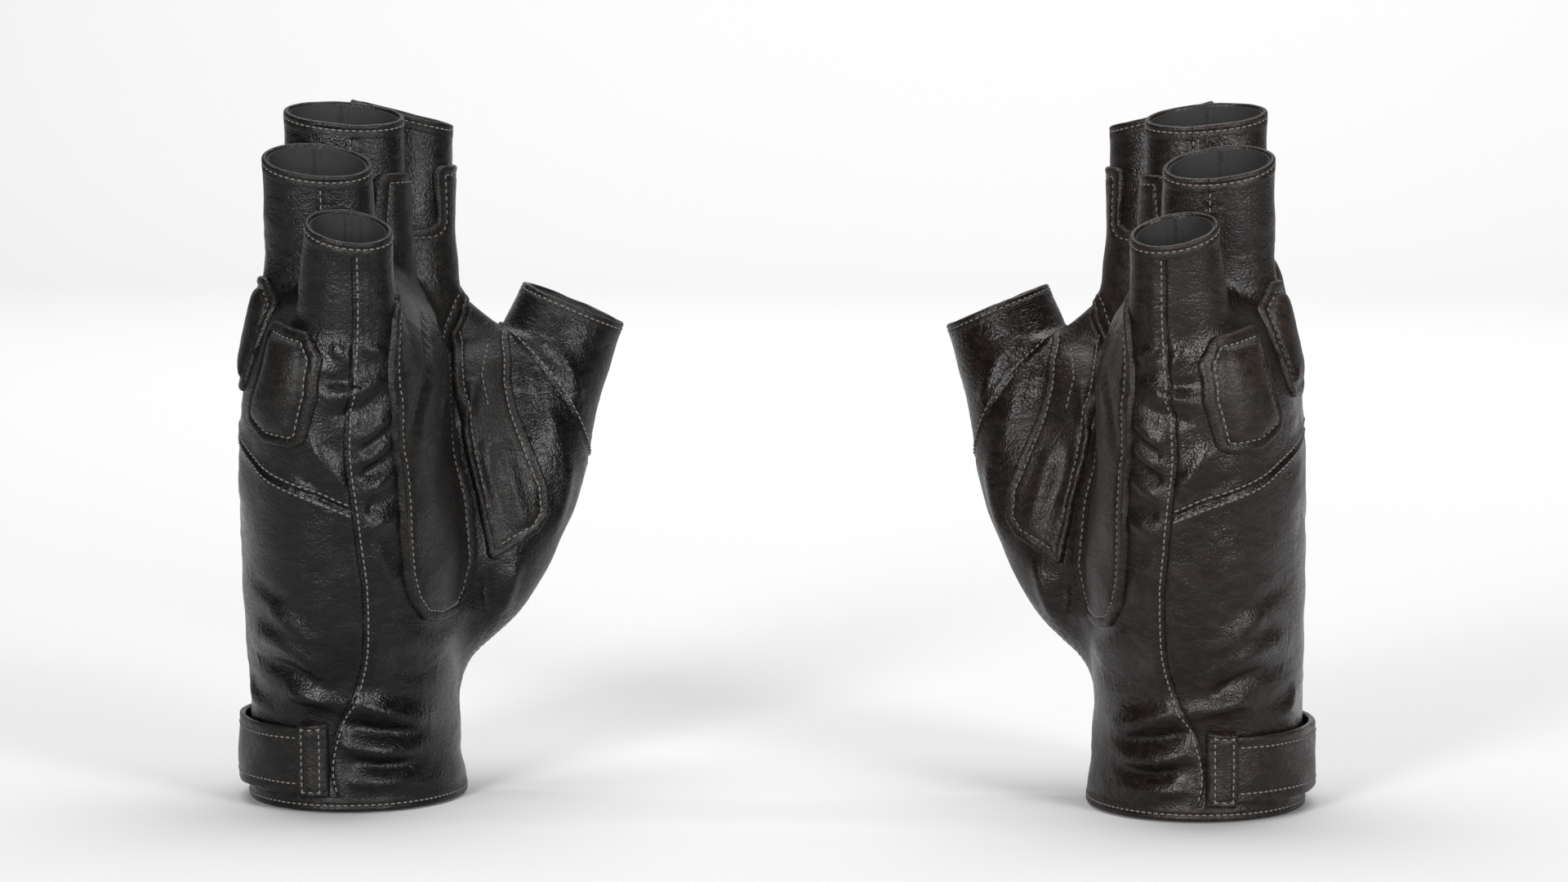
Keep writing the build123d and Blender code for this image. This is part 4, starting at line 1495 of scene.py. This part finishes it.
def on_side(p, side):
    """Glove millimetres to frame metres, for one hand."""
    p = np.atleast_2d(p).astype(float)
    if side == "left":
        p[:, 0] *= -1
        p[:, 0] += PAIR_HALF_SPACING
    else:
        p[:, 0] -= PAIR_HALF_SPACING
    p[:, 1] += PAIR_SHIFT_Y
    return p * MM


def make_object(side, item):
    """Makes one piece for one hand."""
    points, faces, corners = on_side(item["points"], side), item["faces"], item["corners"]
    if side == "left":
        faces = faces[:, ::-1]
        corners = None if corners is None else corners[:, ::-1] * np.array((-1.0, 1.0, 1.0))
    name = f"{side}_{item['name']}"
    mesh = bpy.data.meshes.new(name)
    mesh.from_pydata(points.tolist(), [], faces.tolist())
    mesh.polygons.foreach_set("use_smooth", np.ones(len(faces), bool))
    if corners is not None:
        mesh.normals_split_custom_set(corners.reshape(-1, 3).tolist())
    shared = item["slot"] in ("leather", "trim")
    slot = f"{side}_{item['slot']}" if shared else item["slot"]
    mesh.materials.append(MATERIALS[slot])
    made = add_object(name, mesh)
    attach(made, side, item)
    if item["nodes"]:
        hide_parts(*(f"{side}_{node}" for node in item["nodes"]))


def attach(made, side, item):
    """The piece rides on its body, or, between the hand and a digit or the flap, stays in place with its
    transform baked.
    """
    digit, glove = item["digit"], f"{side}_glove"
    if digit and digit.endswith("!"):
        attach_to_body(made, f"{side}_{digit[:-1]}")
    elif digit:
        origin, normal = root_frame(digit)
        start = on_side(origin, side)[0]
        end = on_side(origin + normal * BEND_ROOM, side)[0]
        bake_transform(made)
    elif item["flap"] == "!":
        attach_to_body(made, f"{side}_flap")
    elif item["flap"]:
        start, end = on_side(FLAP_BEND, side)
        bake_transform(made)
    else:
        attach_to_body(made, glove)


grid = Grid(GRID_LOW, GRID_HIGH, STEP)
net_points, net_faces = surface_net(grid)
plain = (grid.settle(net_points), net_faces)
build_skin(*plain, grid)
build_overlays(plain, grid)
build_bindings(grid)
build_strap(plain, grid)
thread_rows(grid)
for hand in ("right", "left"):
    for item in PIECES:
        make_object(hand, item)


# ---------------------------------------------------------------- floor, light and camera

def floor_sweep():
    """A pale floor that curves up into a backdrop, far enough off to leave no line."""
    turns = np.linspace(0.1, math.pi / 2, 12)
    curve = [(2.2 + 1.2 * math.sin(a), 1.2 - 1.2 * math.cos(a)) for a in turns]
    profile = [(-3.0, 0.0), (2.2, 0.0), *curve, (3.4, 5.0)]
    points = [(x, y, z - 0.0005) for x in (-5.0, 5.0) for y, z in profile]
    n = len(profile)
    faces = [(i, n + i, n + i + 1, i + 1) for i in range(n - 1)]
    mesh = bpy.data.meshes.new("floor")
    mesh.from_pydata(points, [], faces)
    mesh.polygons.foreach_set("use_smooth", [True] * len(faces))
    look = {"Base_Color": (0.42, 0.42, 0.42, 1), "Roughness": 0.9, "Specular_IOR_Level": 0.1}
    mesh.materials.append(new_material("floor", **look)[0])
    return add_object("floor", mesh)


def area_light(name, place, aim, size, power):
    data = bpy.data.lights.new(name, "AREA")
    data.shape = "RECTANGLE"
    data.size, data.size_y = size
    data.energy = power
    made = add_object(name, data)
    made.location = place
    made.rotation_euler = (Vector(aim) - Vector(place)).to_track_quat("-Z", "Y").to_euler()


floor_sweep()
area_light("key", (-0.6, -1.65, 0.55), (0, 0, 0.09), (0.35, 1.1), 46.0)
area_light("fill", (1.15, -1.4, 0.55), (0, 0, 0.09), (0.45, 1.1), 42.0)
area_light("top", (0.0, 0.1, 1.6), (0, 0, 0.05), (1.6, 0.8), 30.0)
area_light("backdrop", (0.0, 1.2, 2.4), (0, 3.0, 0.9), (3.0, 1.0), 166.0)
world = bpy.data.worlds.new("studio")
world.use_nodes = True
sky = world.node_tree.nodes["Background"].inputs
sky["Color"].default_value = (1, 1, 1, 1)
sky["Strength"].default_value = 0.04
bpy.context.scene.world = world
bpy.context.scene.view_settings.view_transform = "Standard"

lens = bpy.data.cameras.new("camera")
lens.lens = 114.65
lens.sensor_width = 36.0
lens.clip_start = 0.05
camera = add_object("camera", lens)
camera.location = (0.0935, -1.311, 0.2168)
camera.rotation_euler = (math.pi / 2 - 0.092, 0.0, 0.069)
bpy.context.scene.camera = camera
